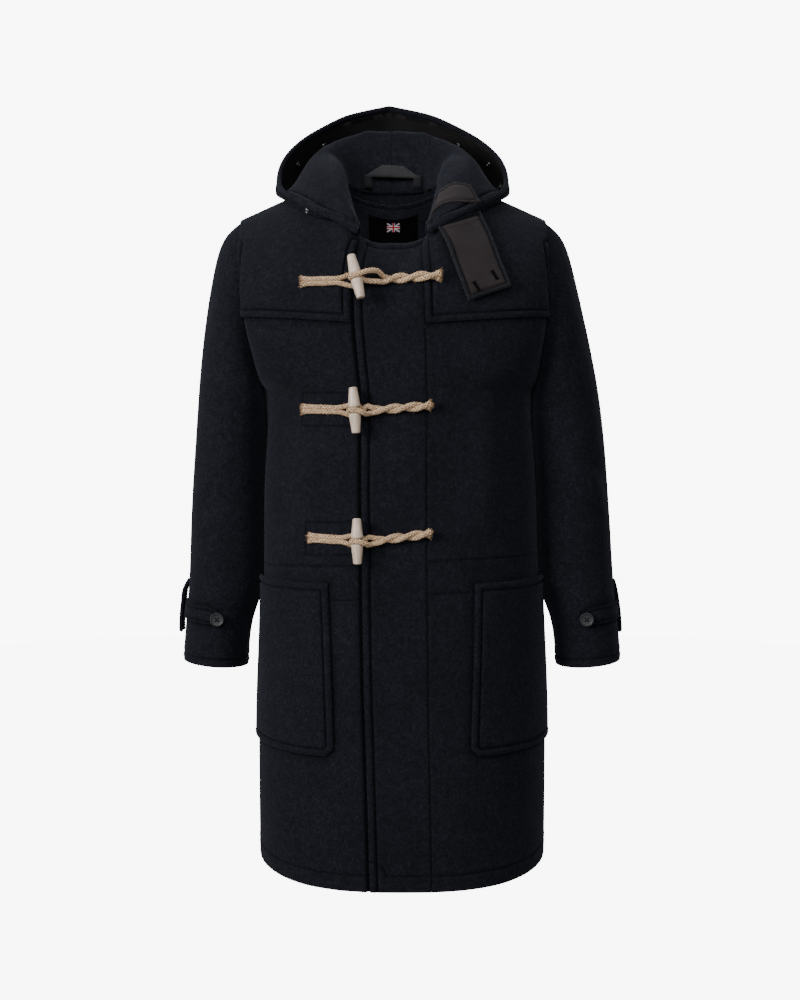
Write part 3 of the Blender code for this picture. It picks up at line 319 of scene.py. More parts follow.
clothPieces = {
    "back": cloth(backward, (0.610, 1.070), 0.569),
    "front_left": cloth(forward, (0.360, 1.065), 0.331),
    "front_right": cloth(forward, (0.352, 1.065), 0.320),
    "sleeve_left": cloth(leftward, (0.396, 0.660), 0.203),
    "sleeve_right": cloth(rightward, (0.396, 0.660), 0.203),
    "yoke_front_left": cloth(forward, (0.210, 0.268), 0.0458),
    "yoke_front_right": cloth(forward, (0.208, 0.268), 0.0435),
    "yoke_back": cloth(backward, (0.527, 0.271), 0.115),
    "hood_left": cloth(backward, (0.360, 0.400), 0.101, bothSides=True),
    "hood_right": cloth(backward, (0.360, 0.400), 0.101, bothSides=True),
    "pocket_left": cloth(forward, (0.205, 0.246), 0.0476),
    "pocket_right": cloth(forward, (0.205, 0.246), 0.0476),
    "cuff_strap_left": cloth(leftward, (0.027, 0.210), thickness=0.0014),
    "cuff_strap_right": cloth(rightward, (0.027, 0.210), thickness=0.0014),
    "cuff_tab_left": cloth(leftward, (0.034, 0.083), thickness=0.0045, bothSides=True),
    "cuff_tab_right": cloth(rightward, (0.034, 0.083), thickness=0.0045, bothSides=True),
    "neck_facing": cloth(backward, (0.195, 0.095), 0.0143, 0.0014, True),
    "throat_tab": cloth(forward, (0.073, 0.126), thickness=0.0045, bothSides=True),
    "throat_patch": cloth(backward, (0.040, 0.080), 0.0025, 0.0025, True),
    "hood_facing": cloth(backward, (0.175, 0.420), 0.0587, 0.0014, True),
    "neck_label": cloth(backward, (0.075, 0.045), thickness=0.0006, bothSides=True),
}


def faceGroups(faces, walls):
    # groups of faces that are joined without crossing these edges, always in the same order
    left, groups = set(faces), []
    for first in faces:
        if first not in left:
            continue
        left.discard(first)
        stack, group = [first], []
        while stack:
            face = stack.pop()
            group.append(face)
            for edge in face.edges:
                for other in () if edge in walls else edge.link_faces:
                    if other in left:
                        left.discard(other)
                        stack.append(other)
        groups.append(group)
    return sorted(groups, key=len, reverse=True)


def clothCage(name, thickness, way):
    # the node as a mesh of four-sided faces, marked 0 outside, 1 inside and 2 on the rim
    mesh = bmesh.new()
    mesh.from_mesh(nodes[name].data)
    bmesh.ops.remove_doubles(mesh, verts=mesh.verts, dist=0.00001)
    across = {e for e in mesh.edges if 0.4 * thickness < e.calc_length() < 1.03 * thickness}
    whole = [f for f in mesh.faces if not across.intersection(f.edges)]
    side = {}
    for number, group in enumerate(faceGroups(whole, across)[:2]):
        for face in group:
            side.update((vertex, number) for vertex in face.verts)
    for vertex in mesh.verts:
        if vertex not in side:
            others = [e.other_vert(vertex) for e in vertex.link_edges if e not in across]
            near = [side[other] for other in others if other in side]
            side[vertex] = round(sum(near) / len(near)) if near else 0
    furthest = max(mesh.verts, key=lambda vertex: vertex.co.dot(Vector(way)))
    outside = side[furthest]
    for face in mesh.faces:
        sides = {side[vertex] for vertex in face.verts}
        face.material_index = 2 if len(sides) > 1 else int(sides != {outside})
    for label in (0, 1, 2):
        faces = [face for face in mesh.faces if face.material_index == label]
        bend = math.radians(80)
        bmesh.ops.join_triangles(
            mesh, faces=faces, angle_face_threshold=bend, angle_shape_threshold=math.pi
        )
    mesh.normal_update()
    crease = mesh.edges.layers.float.new("crease_edge")
    for edge in mesh.edges:
        labels = {face.material_index for face in edge.link_faces}
        edge[crease] = 1.0 if len(labels) > 1 else 0.0
    for vertex in mesh.verts:  # corners that turn within the cloth stay sharp
        rim = [edge for edge in vertex.link_edges if edge[crease] == 1.0]
        if len(rim) == 2:
            skin = sum((face.normal for face in vertex.link_faces if face.material_index != 2), Vector())
            skin.normalize()
            runs = [edge.other_vert(vertex).co - vertex.co for edge in rim]
            runs = [(run - skin * run.dot(skin)).normalized() for run in runs]
            if runs[0].dot(runs[1]) > -0.75:
                for edge in vertex.link_edges:
                    if {face.material_index for face in edge.link_faces} == {2}:
                        edge[crease] = 1.0
    return mesh


def smoothSkin(name, cage, level):
    # subdivides the cage after moving its points until the smooth surface runs through the node's own
    data = bpy.data.meshes.new(name + "Cage")
    cage.to_mesh(data)
    cage.free()
    for _ in range(3):
        data.materials.append(wool)
    thing = bpy.data.objects.new(name + "Cage", data)
    bpy.context.scene.collection.objects.link(thing)
    smooth = thing.modifiers.new("Smooth", "SUBSURF")
    smooth.levels = smooth.render_levels = 1
    count = len(data.vertices)
    target = np.zeros(count * 3)
    data.vertices.foreach_get("co", target)
    cagePoints = target.copy()

    def evaluated():
        bpy.context.view_layer.update()
        view = bpy.context.evaluated_depsgraph_get()
        return thing.evaluated_get(view)

    for _ in range(7):
        reached = evaluated().to_mesh()
        limit = np.zeros(len(reached.vertices) * 3)
        reached.vertices.foreach_get("co", limit)
        cagePoints += target - limit[: count * 3]
        data.vertices.foreach_set("co", cagePoints)
        data.update()
    smooth.levels = level
    made = bpy.data.meshes.new_from_object(evaluated())
    points = np.zeros(len(made.vertices) * 3)
    made.vertices.foreach_get("co", points)
    made.calc_loop_triangles()
    triangles = np.zeros(len(made.loop_triangles) * 3, int)
    made.loop_triangles.foreach_get("vertices", triangles)
    owner = np.zeros(len(made.loop_triangles), int)
    made.loop_triangles.foreach_get("polygon_index", owner)
    labels = np.zeros(len(made.polygons), int)
    made.polygons.foreach_get("material_index", labels)
    bpy.data.objects.remove(thing)
    bpy.data.meshes.remove(made)
    bpy.data.meshes.remove(data)
    return points.reshape(-1, 3), triangles.reshape(-1, 3), labels[owner]


def edgesOf(triangles, count):
    # every edge once, with the place of each triangle's three edges in that list
    pairs = np.sort(triangles[:, [[0, 1], [1, 2], [2, 0]]], axis=2).reshape(-1, 2)
    codes, places = np.unique(pairs[:, 0] * count + pairs[:, 1], return_inverse=True)
    return np.stack([codes // count, codes % count], axis=1), places.reshape(-1, 3)


def splitLong(points, triangles, labels, longest, passes=5):
    # halves each edge that is longer than longest(its middle, its label) until none is
    for _ in range(passes):
        ends, places = edgesOf(triangles, len(points))
        middle = points[ends].mean(axis=1)
        length = np.linalg.norm(points[ends[:, 1]] - points[ends[:, 0]], axis=1)
        edgeLabel = np.full(len(ends), 9)
        np.minimum.at(edgeLabel, places.ravel(), np.repeat(labels, 3))
        split = length > longest(middle, edgeLabel)
        if not split.any():
            break
        fresh = np.full(len(ends), -1)
        fresh[split] = len(points) + np.arange(split.sum())
        points = np.concatenate([points, middle[split]])
        mids = fresh[places]
        cut = mids >= 0
        count = cut.sum(axis=1)
        shift = np.where(count == 2, (cut.argmin(axis=1) + 1) % 3, 0)
        shift = np.where(count == 1, cut.argmax(axis=1), shift)
        turn = (np.arange(3)[None] + shift[:, None]) % 3
        corner = np.take_along_axis(triangles, turn, axis=1)
        mid = np.take_along_axis(mids, turn, axis=1)
        a, b, c = corner.T
        ab, bc, ca = mid.T
        one, two, three = count == 1, count == 2, count == 3
        first, second = points[a] - points[bc], points[c] - points[ab]
        short = np.linalg.norm(first, axis=1) < np.linalg.norm(second, axis=1)
        made = [(count == 0, (a, b, c)), (one, (a, ab, c)), (one, (ab, b, c)), (two, (ab, b, bc))]
        made += [(two & short, (a, ab, bc)), (two & short, (a, bc, c)), (two & ~short, (ab, bc, c))]
        made += [(two & ~short, (a, ab, c)), (three, (a, ab, ca)), (three, (ab, b, bc))]
        made += [(three, (ca, bc, c)), (three, (ab, bc, ca))]
        triangles = np.concatenate([np.stack([v[keep] for v in corners], axis=1) for keep, corners in made])
        labels = np.concatenate([labels[keep] for keep, _ in made])
    return points, triangles, labels


def clothDirections(points, triangles, labels):
    # the direction out of the cloth at every point: the outer skin's, or the inner skin's turned round
    a, b, c = points[triangles].transpose(1, 0, 2)
    normal = np.cross(b - a, c - a) * np.where(labels == 0, 1.0, np.where(labels == 1, -1.0, 0.0))[:, None]
    total = np.zeros_like(points)
    for corner in range(3):
        np.add.at(total, triangles[:, corner], normal)
    known = np.linalg.norm(total, axis=1) > 1e-12
    total[known] = unit(total[known])
    near = treeOf(points[known])
    knownDirections = total[known]
    for k in np.flatnonzero(~known):
        total[k] = knownDirections[near.find(points[k])[1]]
    return total


def treeOf(points):
    tree = KDTree(len(points))
    for k, point in enumerate(points):
        tree.insert(point, k)
    tree.balance()
    return tree


def distances(points, tree, far=0.05):
    if tree is None:
        return np.full(len(points), far)
    return np.array([tree.find(point)[2] for point in points])


def sampled(line, step=0.001):
    line = np.asarray(line, float)
    pieces = []
    for a, b in zip(line[:-1], line[1:]):
        count = max(1, int(np.linalg.norm(b - a) / step))
        pieces.append(a + (b - a) * (np.arange(count) / count)[:, None])
    return np.concatenate(pieces + [line[-1:]])


def nodeTree(name):
    data = nodes[name].data
    return BVHTree.FromPolygons([v.co for v in data.vertices], [p.vertices for p in data.polygons])


nodeTrees = {name: nodeTree(name) for name in clothPieces}

# creases and soft bends: where they run (x, z), on the front (-1) or back (1) of the body or a sleeve, how
# wide and how deep. A negative depth is a trough.
foldRows = [
    # face, width, depth, points
    (-1, 0.030, -0.0022, [(-0.163, -0.190), (-0.168, -0.300), (-0.160, -0.430), (-0.158, -0.520)]),
    (-1, 0.022, 0.0014, [(-0.120, -0.240), (-0.128, -0.360), (-0.118, -0.500)]),
    (-1, 0.026, -0.0012, [(-0.090, -0.600), (-0.088, -0.700), (-0.094, -0.820), (-0.098, -0.930)]),
    (-1, 0.034, -0.0015, [(0.070, -0.230), (0.078, -0.360), (0.070, -0.470)]),
    (-1, 0.026, 0.0018, [(0.118, -0.220), (0.126, -0.330), (0.120, -0.460)]),
    (-1, 0.024, -0.0028, [(0.150, -0.200), (0.158, -0.320), (0.152, -0.440), (0.156, -0.520)]),
    (-1, 0.030, 0.0014, [(0.078, -0.800), (0.084, -0.860), (0.080, -0.950)]),
    (-1, 0.040, 0.0012, [(-0.010, -0.200), (-0.004, -0.400), (-0.012, -0.600)]),
    (1, 0.034, -0.0034, [(-0.060, -0.320), (-0.066, -0.520), (-0.058, -0.720), (-0.064, -0.940)]),
    (1, 0.030, 0.0030, [(-0.105, -0.280), (-0.112, -0.480), (-0.104, -0.700)]),
    (1, 0.036, -0.0032, [(0.074, -0.360), (0.068, -0.560), (0.076, -0.760), (0.072, -0.940)]),
    (1, 0.028, 0.0030, [(0.118, -0.300), (0.110, -0.500), (0.118, -0.720)]),
    (1, 0.044, 0.0026, [(0.004, -0.400), (-0.004, -0.640), (0.002, -0.930)]),
    (1, 0.022, -0.0026, [(-0.150, -0.215), (-0.120, -0.260), (-0.096, -0.330)]),
    (1, 0.022, -0.0024, [(0.152, -0.210), (0.126, -0.262), (0.106, -0.350)]),
    (-1, 0.013, -0.0022, [(-0.298, -0.372), (-0.276, -0.352), (-0.250, -0.344)]),
    (-1, 0.012, -0.0018, [(-0.296, -0.436), (-0.274, -0.424), (-0.246, -0.430)]),
    (-1, 0.014, 0.0016, [(-0.300, -0.404), (-0.276, -0.388), (-0.248, -0.390)]),
    (-1, 0.013, -0.0022, [(0.300, -0.386), (0.278, -0.364), (0.250, -0.352)]),
    (-1, 0.012, -0.0018, [(0.298, -0.452), (0.276, -0.438), (0.248, -0.440)]),
    (-1, 0.014, 0.0016, [(0.300, -0.420), (0.278, -0.400), (0.250, -0.396)]),
    (1, 0.014, -0.0024, [(-0.294, -0.360), (-0.268, -0.372), (-0.240, -0.392)]),
    (1, 0.014, -0.0020, [(-0.298, -0.430), (-0.272, -0.436), (-0.244, -0.452)]),
    (1, 0.014, -0.0024, [(0.296, -0.366), (0.270, -0.378), (0.242, -0.396)]),
    (1, 0.014, -0.0020, [(0.300, -0.440), (0.274, -0.446), (0.246, -0.462)]),
]


def foldLines():
    trees = [nodeTrees[name] for name in ("front_left", "front_right", "back", "sleeve_left", "sleeve_right")]
    lines = []
    for face, width, depth, places in foldRows:
        points = []
        for x, z in sampled([(x, z) for x, z in places], 0.012):
            hits = [tree.ray_cast(Vector((x, face, z)), Vector((0, -face, 0)))[0] for tree in trees]
            hits = [hit for hit in hits if hit is not None]
            if hits:
                points.append(tuple(min(hits, key=lambda hit: -face * hit.y)))
        lines.append((np.array(points), width, depth))
    return lines


folds = foldLines()


def foldLift(points):
    # how far the folds lift each point off the plain form
    lift = np.zeros(len(points))
    for line, width, depth in folds:
        low, high = line.min(axis=0) - 2.6 * width, line.max(axis=0) + 2.6 * width
        near = np.flatnonzero(np.all((points > low) & (points < high), axis=1))
        if not len(near):
            continue
        ends = np.stack([line[:-1], line[1:]], axis=1)
        run = ends[:, 1] - ends[:, 0]
        offset = points[near][:, None] - ends[None, :, 0]
        share = np.clip((offset * run).sum(axis=2) / (run * run).sum(axis=1), 0.0, 1.0)
        gap = np.linalg.norm(offset - share[..., None] * run, axis=2)
        nearest = gap.argmin(axis=1)
        gap = gap[np.arange(len(near)), nearest]
        along = (nearest + share[np.arange(len(near)), nearest]) / len(run)
        fade = smoothStep(along, 0.0, 0.3) * smoothStep(1.0 - along, 0.0, 0.3)
        form = np.exp(-((gap / width) ** 2)) - 0.30 * np.exp(-(((gap - 1.7 * width) / width) ** 2))
        lift[near] += depth * fade * form
    return lift


sewn = {
    "puff": 0.0017,  # the turned edge stands this much higher
    "groove": 0.0023,
    "grooveWidth": 0.0018,
    "swell": 0.0007,
    "round": 0.0011,  # how far a free edge is rounded off
    "overlap": 0.00026,  # each edge runs this far into a seam, so that no light comes through
    "seamGap": 0.00046,
    "fine": 0.0028,  # edge length beside the stitches
    "plain": 0.0084,
    "inside": 0.0170,
}


def bandLift(gap, inset):
    # a turned edge: a puffed band, the sewn groove, and a soft swell beyond it
    puff = np.where(gap < inset, np.sin(np.pi * np.clip(gap / inset, 0.0, 1.0)) ** 0.8, 0.0) * sewn["puff"]
    groove = -sewn["groove"] * np.exp(-(((gap - inset) / sewn["grooveWidth"]) ** 2))
    swell = sewn["swell"] * np.exp(-(((gap - inset - 0.006) / 0.006) ** 2)) * (gap > inset)
    return puff + groove + swell


def lineLift(gap):
    # a plain sewn line
    swell = 0.6 * sewn["swell"] * np.exp(-(((gap - 0.005) / 0.004) ** 2))
    return swell - 0.6 * sewn["groove"] * np.exp(-((gap / (0.75 * sewn["grooveWidth"])) ** 2))


def placketEdge(p):
    return p[2] > -0.955 and p[1] < -0.03 and (p[0] < -0.030 or p[0] < 0.05 and p[2] > -0.08)


def everywhere(_):
    return True


def aboveNeck(p):
    return p[2] > 0.0


def bodyHem(p):
    return p[2] < -0.940


def sleeveHem(p):
    return p[2] < -0.600


def yokeFoot(p):
    return p[2] < -0.058


def hoodEdge(p):
    return abs(p[0] + 0.013) > 0.012 or p[2] > 0.168


edgeRows = {
    # node: which part of its free edge is sewn, how far in, and whether the edge is puffed
    "front_left": [
        (placketEdge, 0.0110, True),
        (bodyHem, 0.0235, False),
    ],
    "front_right": [(bodyHem, 0.0235, False)],
    "back": [(bodyHem, 0.0235, False)],
    "yoke_front_left": [(yokeFoot, 0.0100, True)],
    "yoke_front_right": [(yokeFoot, 0.0100, True)],
    "yoke_back": [(yokeFoot, 0.0100, True)],
    "pocket_left": [(everywhere, 0.0100, True)],
    "pocket_right": [(everywhere, 0.0100, True)],
    "sleeve_left": [(sleeveHem, 0.0120, False)],
    "sleeve_right": [(sleeveHem, 0.0120, False)],
    "hood_left": [(hoodEdge, 0.0092, True)],
    "hood_right": [(hoodEdge, 0.0092, True)],
    "cuff_tab_left": [(everywhere, 0.0050, True)],
    "cuff_tab_right": [(everywhere, 0.0050, True)],
    "cuff_strap_left": [(everywhere, 0.0042, True)],
    "cuff_strap_right": [(everywhere, 0.0042, True)],
    "throat_tab": [(everywhere, 0.0058, True)],
    "throat_patch": [(everywhere, 0.0045, True)],
    "neck_facing": [(aboveNeck, 0.0060, True)],
}

lyingOn = {
    # node: the pieces that lie on it and shade it at their edges
    "front_left": ("yoke_front_left", "pocket_left"),
    "front_right": ("yoke_front_right", "pocket_right", "front_left"),
    "back": ("yoke_back",),
    "sleeve_left": ("cuff_strap_left", "cuff_tab_left"),
    "sleeve_right": ("cuff_strap_right", "cuff_tab_right"),
    "yoke_front_left": ("throat_tab", "hood_left"),
    "yoke_front_right": ("hood_right",),
    "hood_left": ("throat_patch",),
}

sewnLines = {
    # node: lines sewn through it, as (x, z) seen from the front
    "front_left": [
        [(0.0350, -0.1773), (0.0371, -0.2745), (0.0373, -0.4813), (0.0393, -0.6891), (0.0443, -0.9540)],
        [(0.0380, -0.4974), (0.1114, -0.4954), (0.1930, -0.4944)],
        [(0.0400, -0.5430), (0.0960, -0.5414)],
    ],
    "front_right": [
        [(-0.1960, -0.5103), (-0.1257, -0.5059), (-0.0560, -0.5037)],
        [(-0.1058, -0.5537), (-0.0560, -0.5509)],
        [(-0.0600, -0.2649), (-0.1352, -0.2648), (-0.1354, -0.3107), (-0.0600, -0.3103)],
        [(-0.0600, -0.4428), (-0.1314, -0.4446), (-0.1315, -0.4908), (-0.0600, -0.4886)],
    ],
}


hug = 0.0040
tabClose = 0.0040  # how far the cuff tabs are drawn in to their sleeves
patchSlide = Vector((0.0040, -0.0020, -0.0030))  # the throat patch's place on the hood
tuck = 0.010


def rimOf(points, triangles, labels, side):
    # the rim's segments on one side, each with the way into the cloth
    keep = (labels == side) | (labels == 2)
    part, partLabels = triangles[keep], labels[keep]
    ends, places = edgesOf(part, len(points))
    has = np.zeros((len(ends), 2), bool)
    inner = np.full(len(ends), -1)
    for corner in range(3):
        onSide = partLabels == side
        has[places[onSide, corner], 0] = True
        has[places[~onSide, corner], 1] = True
        inner[places[onSide, corner]] = part[onSide, (corner + 2) % 3]
    found = has.all(axis=1)
    ends, inner = ends[found], inner[found]
    a, b = points[ends[:, 0]], points[ends[:, 1]]
    way = points[inner] - (a + b) / 2
    run = unit(b - a)
    way = unit(way - (way * run).sum(axis=1, keepdims=True) * run)
    return ends, way


def inOrder(ends):
    # segments put end to end, as runs of segment numbers with the point each starts from
    links = {}
    for k, pair in enumerate(ends):
        for point in pair:
            links.setdefault(int(point), []).append(k)
    used, runs = set(), []
    starts = sorted(range(len(ends)), key=lambda k: min(len(links[int(p)]) for p in ends[k]))
    for first in starts:
        if first in used:
            continue
        a, b = (int(p) for p in ends[first])
        here = a if len(links[a]) == 1 or len(links[b]) != 1 else b
        run, k = [], first
        while k is not None:
            used.add(k)
            run.append((k, here))
            here = int(ends[k][0] + ends[k][1] - here)
            k = next((other for other in links[here] if other not in used), None)
        runs.append(run)
    return runs


def seamNear(name, point):
    # whether another piece is sewn on right beside this point of the rim
    for other, tree in nodeTrees.items():
        if other != name and tree.find_nearest(point, sewn["seamGap"])[0] is not None:
            return True
    return False


stitchSize = {"length": 0.0026, "pitch": 0.0037, "radius": 0.00032, "rise": 0.00012, "sink": 0.0002}


def tubeParts(lines, radii, ups, sides):
    # points and faces of many tubes at once. lines is (tubes, points, 3)
    lines = np.asarray(lines, float)
    count, steps = lines.shape[:2]
    run = unit(np.gradient(lines, axis=1))
    side = unit(np.cross(run, ups))
    up = np.cross(side, run)
    angles = 2 * np.pi * np.arange(sides) / sides
    ring = np.cos(angles)[:, None] * side[:, :, None] + np.sin(angles)[:, None] * up[:, :, None]
    radii = np.asarray(radii, float)
    if radii.ndim != 3:
        radii = np.broadcast_to(radii, (count, steps))[..., None]
    points = (lines[:, :, None] + ring * radii[..., None]).reshape(-1, 3)
    index = np.arange(count * steps * sides).reshape(count, steps, sides)
    a, d = index[:, :-1], index[:, 1:]
    quads = np.stack([a, d, np.roll(d, -1, axis=2), np.roll(a, -1, axis=2)], axis=-1).reshape(-1, 4)
    caps = np.concatenate([index[:, 0], index[:, -1, ::-1]])
    return points, quads.tolist() + caps.tolist()


def addMesh(name, points, faces, look, values=None):
    data = bpy.data.meshes.new(name)
    data.from_pydata(np.asarray(points).tolist(), [], faces)
    data.shade_smooth()
    for key, value in (values or {}).items():
        stored = data.attributes.new(key, "FLOAT", "POINT")
        stored.data.foreach_set("value", np.asarray(value, np.float32))
    data.materials.append(look)
    thing = bpy.data.objects.new(name, data)
    bpy.context.scene.collection.objects.link(thing)
    return thing


def stitchLines(route, tree):
    # short raised threads along a route that lies near a surface
    size = stitchSize
    route = np.asarray(route, float)
    if len(route) < 2:
        return []
    travel = np.concatenate([[0.0], np.cumsum(np.linalg.norm(np.diff(route, axis=0), axis=1))])
    middles = np.arange(size["pitch"], travel[-1] - size["pitch"] / 2, size["pitch"])
    made = []
    for middle in middles:
        line = []
        for offset, height in ((-0.5, -size["sink"]), (0.0, size["rise"]), (0.5, -size["sink"])):
            place = [np.interp(middle + offset * size["length"], travel, route[:, axis]) for axis in range(3)]
            hit, normal, _, _ = tree.find_nearest(Vector(place), 0.006)
            if hit is None:
                break
            line.append((tuple(hit + normal * height), tuple(normal)))
        if len(line) == 3:
            made.append(line)
    return made


def splitAtGaps(route, step):
    # parts of a route whose points follow each other closely
    route = np.asarray(route, float)
    if len(route) < 2:
        return []
    jumps = np.flatnonzero(np.linalg.norm(np.diff(route, axis=0), axis=1) > step) + 1
    return [part for part in np.split(route, jumps) if len(part) > 3]


def slideOn(points, under, move):
    # points of a piece moved along the cloth that it lies on, at the height they had
    row = clothPieces[under]
    ground, triangles, _ = smoothSkin(under, clothCage(under, row["thickness"], row["way"]), 2)
    tree = BVHTree.FromPolygons(ground.tolist(), triangles.tolist())
    made = []
    for point in points:
        hit, normal, _, _ = tree.find_nearest(Vector(point))
        height = (Vector(point) - hit).dot(normal)
        place, turned, _, _ = tree.find_nearest(hit + move + normal * 0.002)
        moved = place + turned * height if turned.dot(normal) > 0.4 else Vector(point) + move
        made.append(tuple(moved))
    return np.array(made)


def clothSkin(name):
    # the smooth form of a piece and its outer rim, before its folds and sewing
    row = clothPieces[name]
    points, triangles, labels = smoothSkin(name, clothCage(name, row["thickness"], row["way"]), 2)
    if name == "throat_patch":
        points = slideOn(points, "hood_left", patchSlide)
    ends, ways = rimOf(points, triangles, labels, 0)
    seamed = np.array([seamNear(name, point) for point in points[ends].mean(axis=1)])
    return points, triangles, labels, ends, ways, seamed


skins = {name: clothSkin(name) for name in clothPieces}
print("cloth skins made")


def freeRim(name):
    points, _, _, ends, _, seamed = skins[name]
    return np.concatenate([sampled(points[pair], 0.002) for pair in ends[~seamed]])


def clothShell(name):
    row = clothPieces[name]
    points, triangles, labels, ends, ways, seamed = skins[name]
    bothSides = row["bothSides"]
    middles = points[ends].mean(axis=1)
    rimTree = treeOf(middles)
    above = lyingOn.get(name)
    aboveTree = treeOf(np.concatenate([freeRim(other) for other in above])) if above else None

    edges = []  # each sewn edge: its distance tree, inset, puffed or not, and the route of its stitches
    runs = inOrder(ends)
    for chosen, inset, puffed in edgeRows.get(name, []):
        use = np.array([not seamed[k] and bool(chosen(middles[k])) for k in range(len(ends))])
        if not use.any():
            continue
        tree = treeOf(np.concatenate([sampled(points[pair]) for pair in ends[use]]))
        route = []
        for run in runs:
            for k, start in run:
                if use[k]:
                    finish = ends[k][0] + ends[k][1] - start
                    for share in (0.25, 0.75):
                        place = points[start] * (1 - share) + points[finish] * share + ways[k] * inset
                        if tree.find(place)[2] > inset * 0.975:
                            route.append(place)
        edges.append((tree, inset, puffed, route))

    own = BVHTree.FromPolygons(points.tolist(), triangles.tolist())
    lines = []
    for line in sewnLines.get(name, []):
        hits = [own.ray_cast(Vector((x, -1.0, z)), Vector((0.0, 1.0, 0.0)))[0] for x, z in sampled(line)]
        lines.append(np.array([tuple(hit) for hit in hits if hit is not None]))
    lineTree = treeOf(np.concatenate(lines)) if lines else None

    def longest(middle, label):
        near = distances(middle, lineTree) < 0.005
        for tree, inset, puffed, _ in edges:
            gap = distances(middle, tree)
            near |= (gap < inset + 0.006) & (gap > (0.0 if puffed else inset - 0.006))
        outer = np.where(near, sewn["fine"], sewn["plain"])
        return np.where((label == 0) | bothSides, outer, sewn["inside"])

    points, triangles, labels = splitLong(points, triangles, labels, longest)
    out = clothDirections(points, triangles, labels)
    outer = np.zeros(len(points), bool)
    outer[triangles[labels == 0]] = True
    inner = np.zeros(len(points), bool)
    inner[triangles[labels == 1]] = True
    rim = np.zeros(len(points), bool)
    rim[triangles[labels == 2]] = True

    share = min(1.0, row["thickness"] / wall)
    band = np.zeros(len(points))
    # painted shade: darkest in the sewn grooves and just outside the edges of pieces that lie on this one
    shade = np.zeros(len(points))
    edgeGap = np.full(len(points), 0.05)
    for tree, inset, puffed, _ in edges:
        gap = distances(points, tree)
        band += share * (bandLift(gap, inset) if puffed else lineLift(abs(gap - inset)))
        shade = np.maximum(shade, (1.0 if puffed else 0.7) * np.exp(-(((gap - inset) / 0.0015) ** 2)))
        edgeGap = np.minimum(edgeGap, gap)
    if lineTree is not None:
        gap = distances(points, lineTree)
        band += lineLift(gap)
        shade = np.maximum(shade, 0.75 * np.exp(-((gap / 0.0014) ** 2)))
    if aboveTree is not None:  # the shade under an edge that lies on this piece
        gap = np.maximum(distances(points, aboveTree) - 0.0036, 0.0)
        shade = np.maximum(shade, 0.85 * np.exp(-gap / 0.0028) * outer)

    lift = foldLift(points) + np.where(outer, band, 0.0) - np.where(inner & ~outer, bothSides * band, 0.0)
    shift = np.zeros_like(points)
    rounding = min(sewn["round"], 0.33 * row["thickness"])
    for k in np.flatnonzero(rim):
        _, nearest, _ = rimTree.find(points[k])
        if seamed[nearest]:
            shift[k] = -ways[nearest] * sewn["overlap"]
        elif outer[k]:
            lift[k] -= rounding
        elif inner[k]:
            lift[k] += rounding
    if name.startswith("sleeve"):  # the arm side lies close to the body
        facing = -out[:, 0] * np.sign(points[:, 0])
        low = smoothStep(points[:, 2], -0.60, -0.54) * (1.0 - smoothStep(points[:, 2], -0.25, -0.20))
        lift += hug * smoothStep(facing, 0.3, 0.9) * low * outer
    if name.startswith("cuff_tab"):
        shift[:, 0] -= tabClose * np.sign(points[:, 0])
    if name == "throat_tab":  # its top is tucked in under the hood's edge
        up = np.array([-0.318, 0.0, 0.948])
        upward = unit(up - out * (out @ up)[:, None])
        along = ((points - points[points[:, 2].argmax()]) @ up)
        shift += upward * (tuck * smoothStep(along, -0.035, 0.0))[:, None]
    points = points + out * lift[:, None] + shift
    values = {"seamShade": shade, "edgeGap": edgeGap}
    shell = addMesh(name + "Shell", points, triangles.tolist(), wool, values)

    surface = BVHTree.FromPolygons(points.tolist(), triangles[labels == 0].tolist())
    threads = []
    for _, inset, _, route in edges:
        for part in splitAtGaps(route, 0.009):
            threads += stitchLines(part, surface)
    for line in lines:
        threads += stitchLines(line, surface)
    stitches = None
    if threads:
        places = np.array([[point for point, _ in line] for line in threads])
        ups = np.array([[normal for _, normal in line] for line in threads])
        stitchPoints, faces = tubeParts(places, stitchSize["radius"], ups, 5)
        stitches = addMesh(name + "Stitches", stitchPoints, faces, thread)
    return shell, stitches


finishes = {
    # node: its look, and a slot of the record
    "hood_facing": (facingCloth, "dark_facing"),
    "throat_tab": (tabCloth, "charcoal_cloth"),
    "throat_patch": (charcoalCloth, "charcoal_cloth"),
    "neck_label": (labelCloth, "label_cloth"),
}
shells, stitching = {}, {}
for name in clothPieces:
    shell, stitches = clothShell(name)
    look, slot = finishes.get(name, (wool, "navy_wool"))
    shell.data.materials[0] = look
    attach(shell, "root")
    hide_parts(name)
    shells[name] = shell
    if stitches is not None:
        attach(stitches, "root")
        stitching[name] = stitches
print("cloth shells made,", sum(len(shell.data.polygons) for shell in shells.values()), "triangles")
print("stitches made,", sum(len(made.data.vertices) // 15 for made in stitching.values()))


def shellTree(name):
    data = shells[name].data
    return BVHTree.FromPolygons([v.co for v in data.vertices], [p.vertices for p in data.polygons])


def nodePoints(name):
    place = nodes[name].matrix_world
    return np.array([tuple(place @ vertex.co) for vertex in nodes[name].data.vertices])


def mainAxis(name, longest):
    # a turned node's axis and the middle of its points
    points = np.unique(np.round(nodePoints(name), 6), axis=0)
    middle = points.mean(axis=0)
    _, vectors = np.linalg.eigh(np.cov((points - middle).T))
    axis = vectors[:, 2] if longest else vectors[:, 0]
    along = (points - middle) @ axis
    return middle, axis, along.min(), along.max()


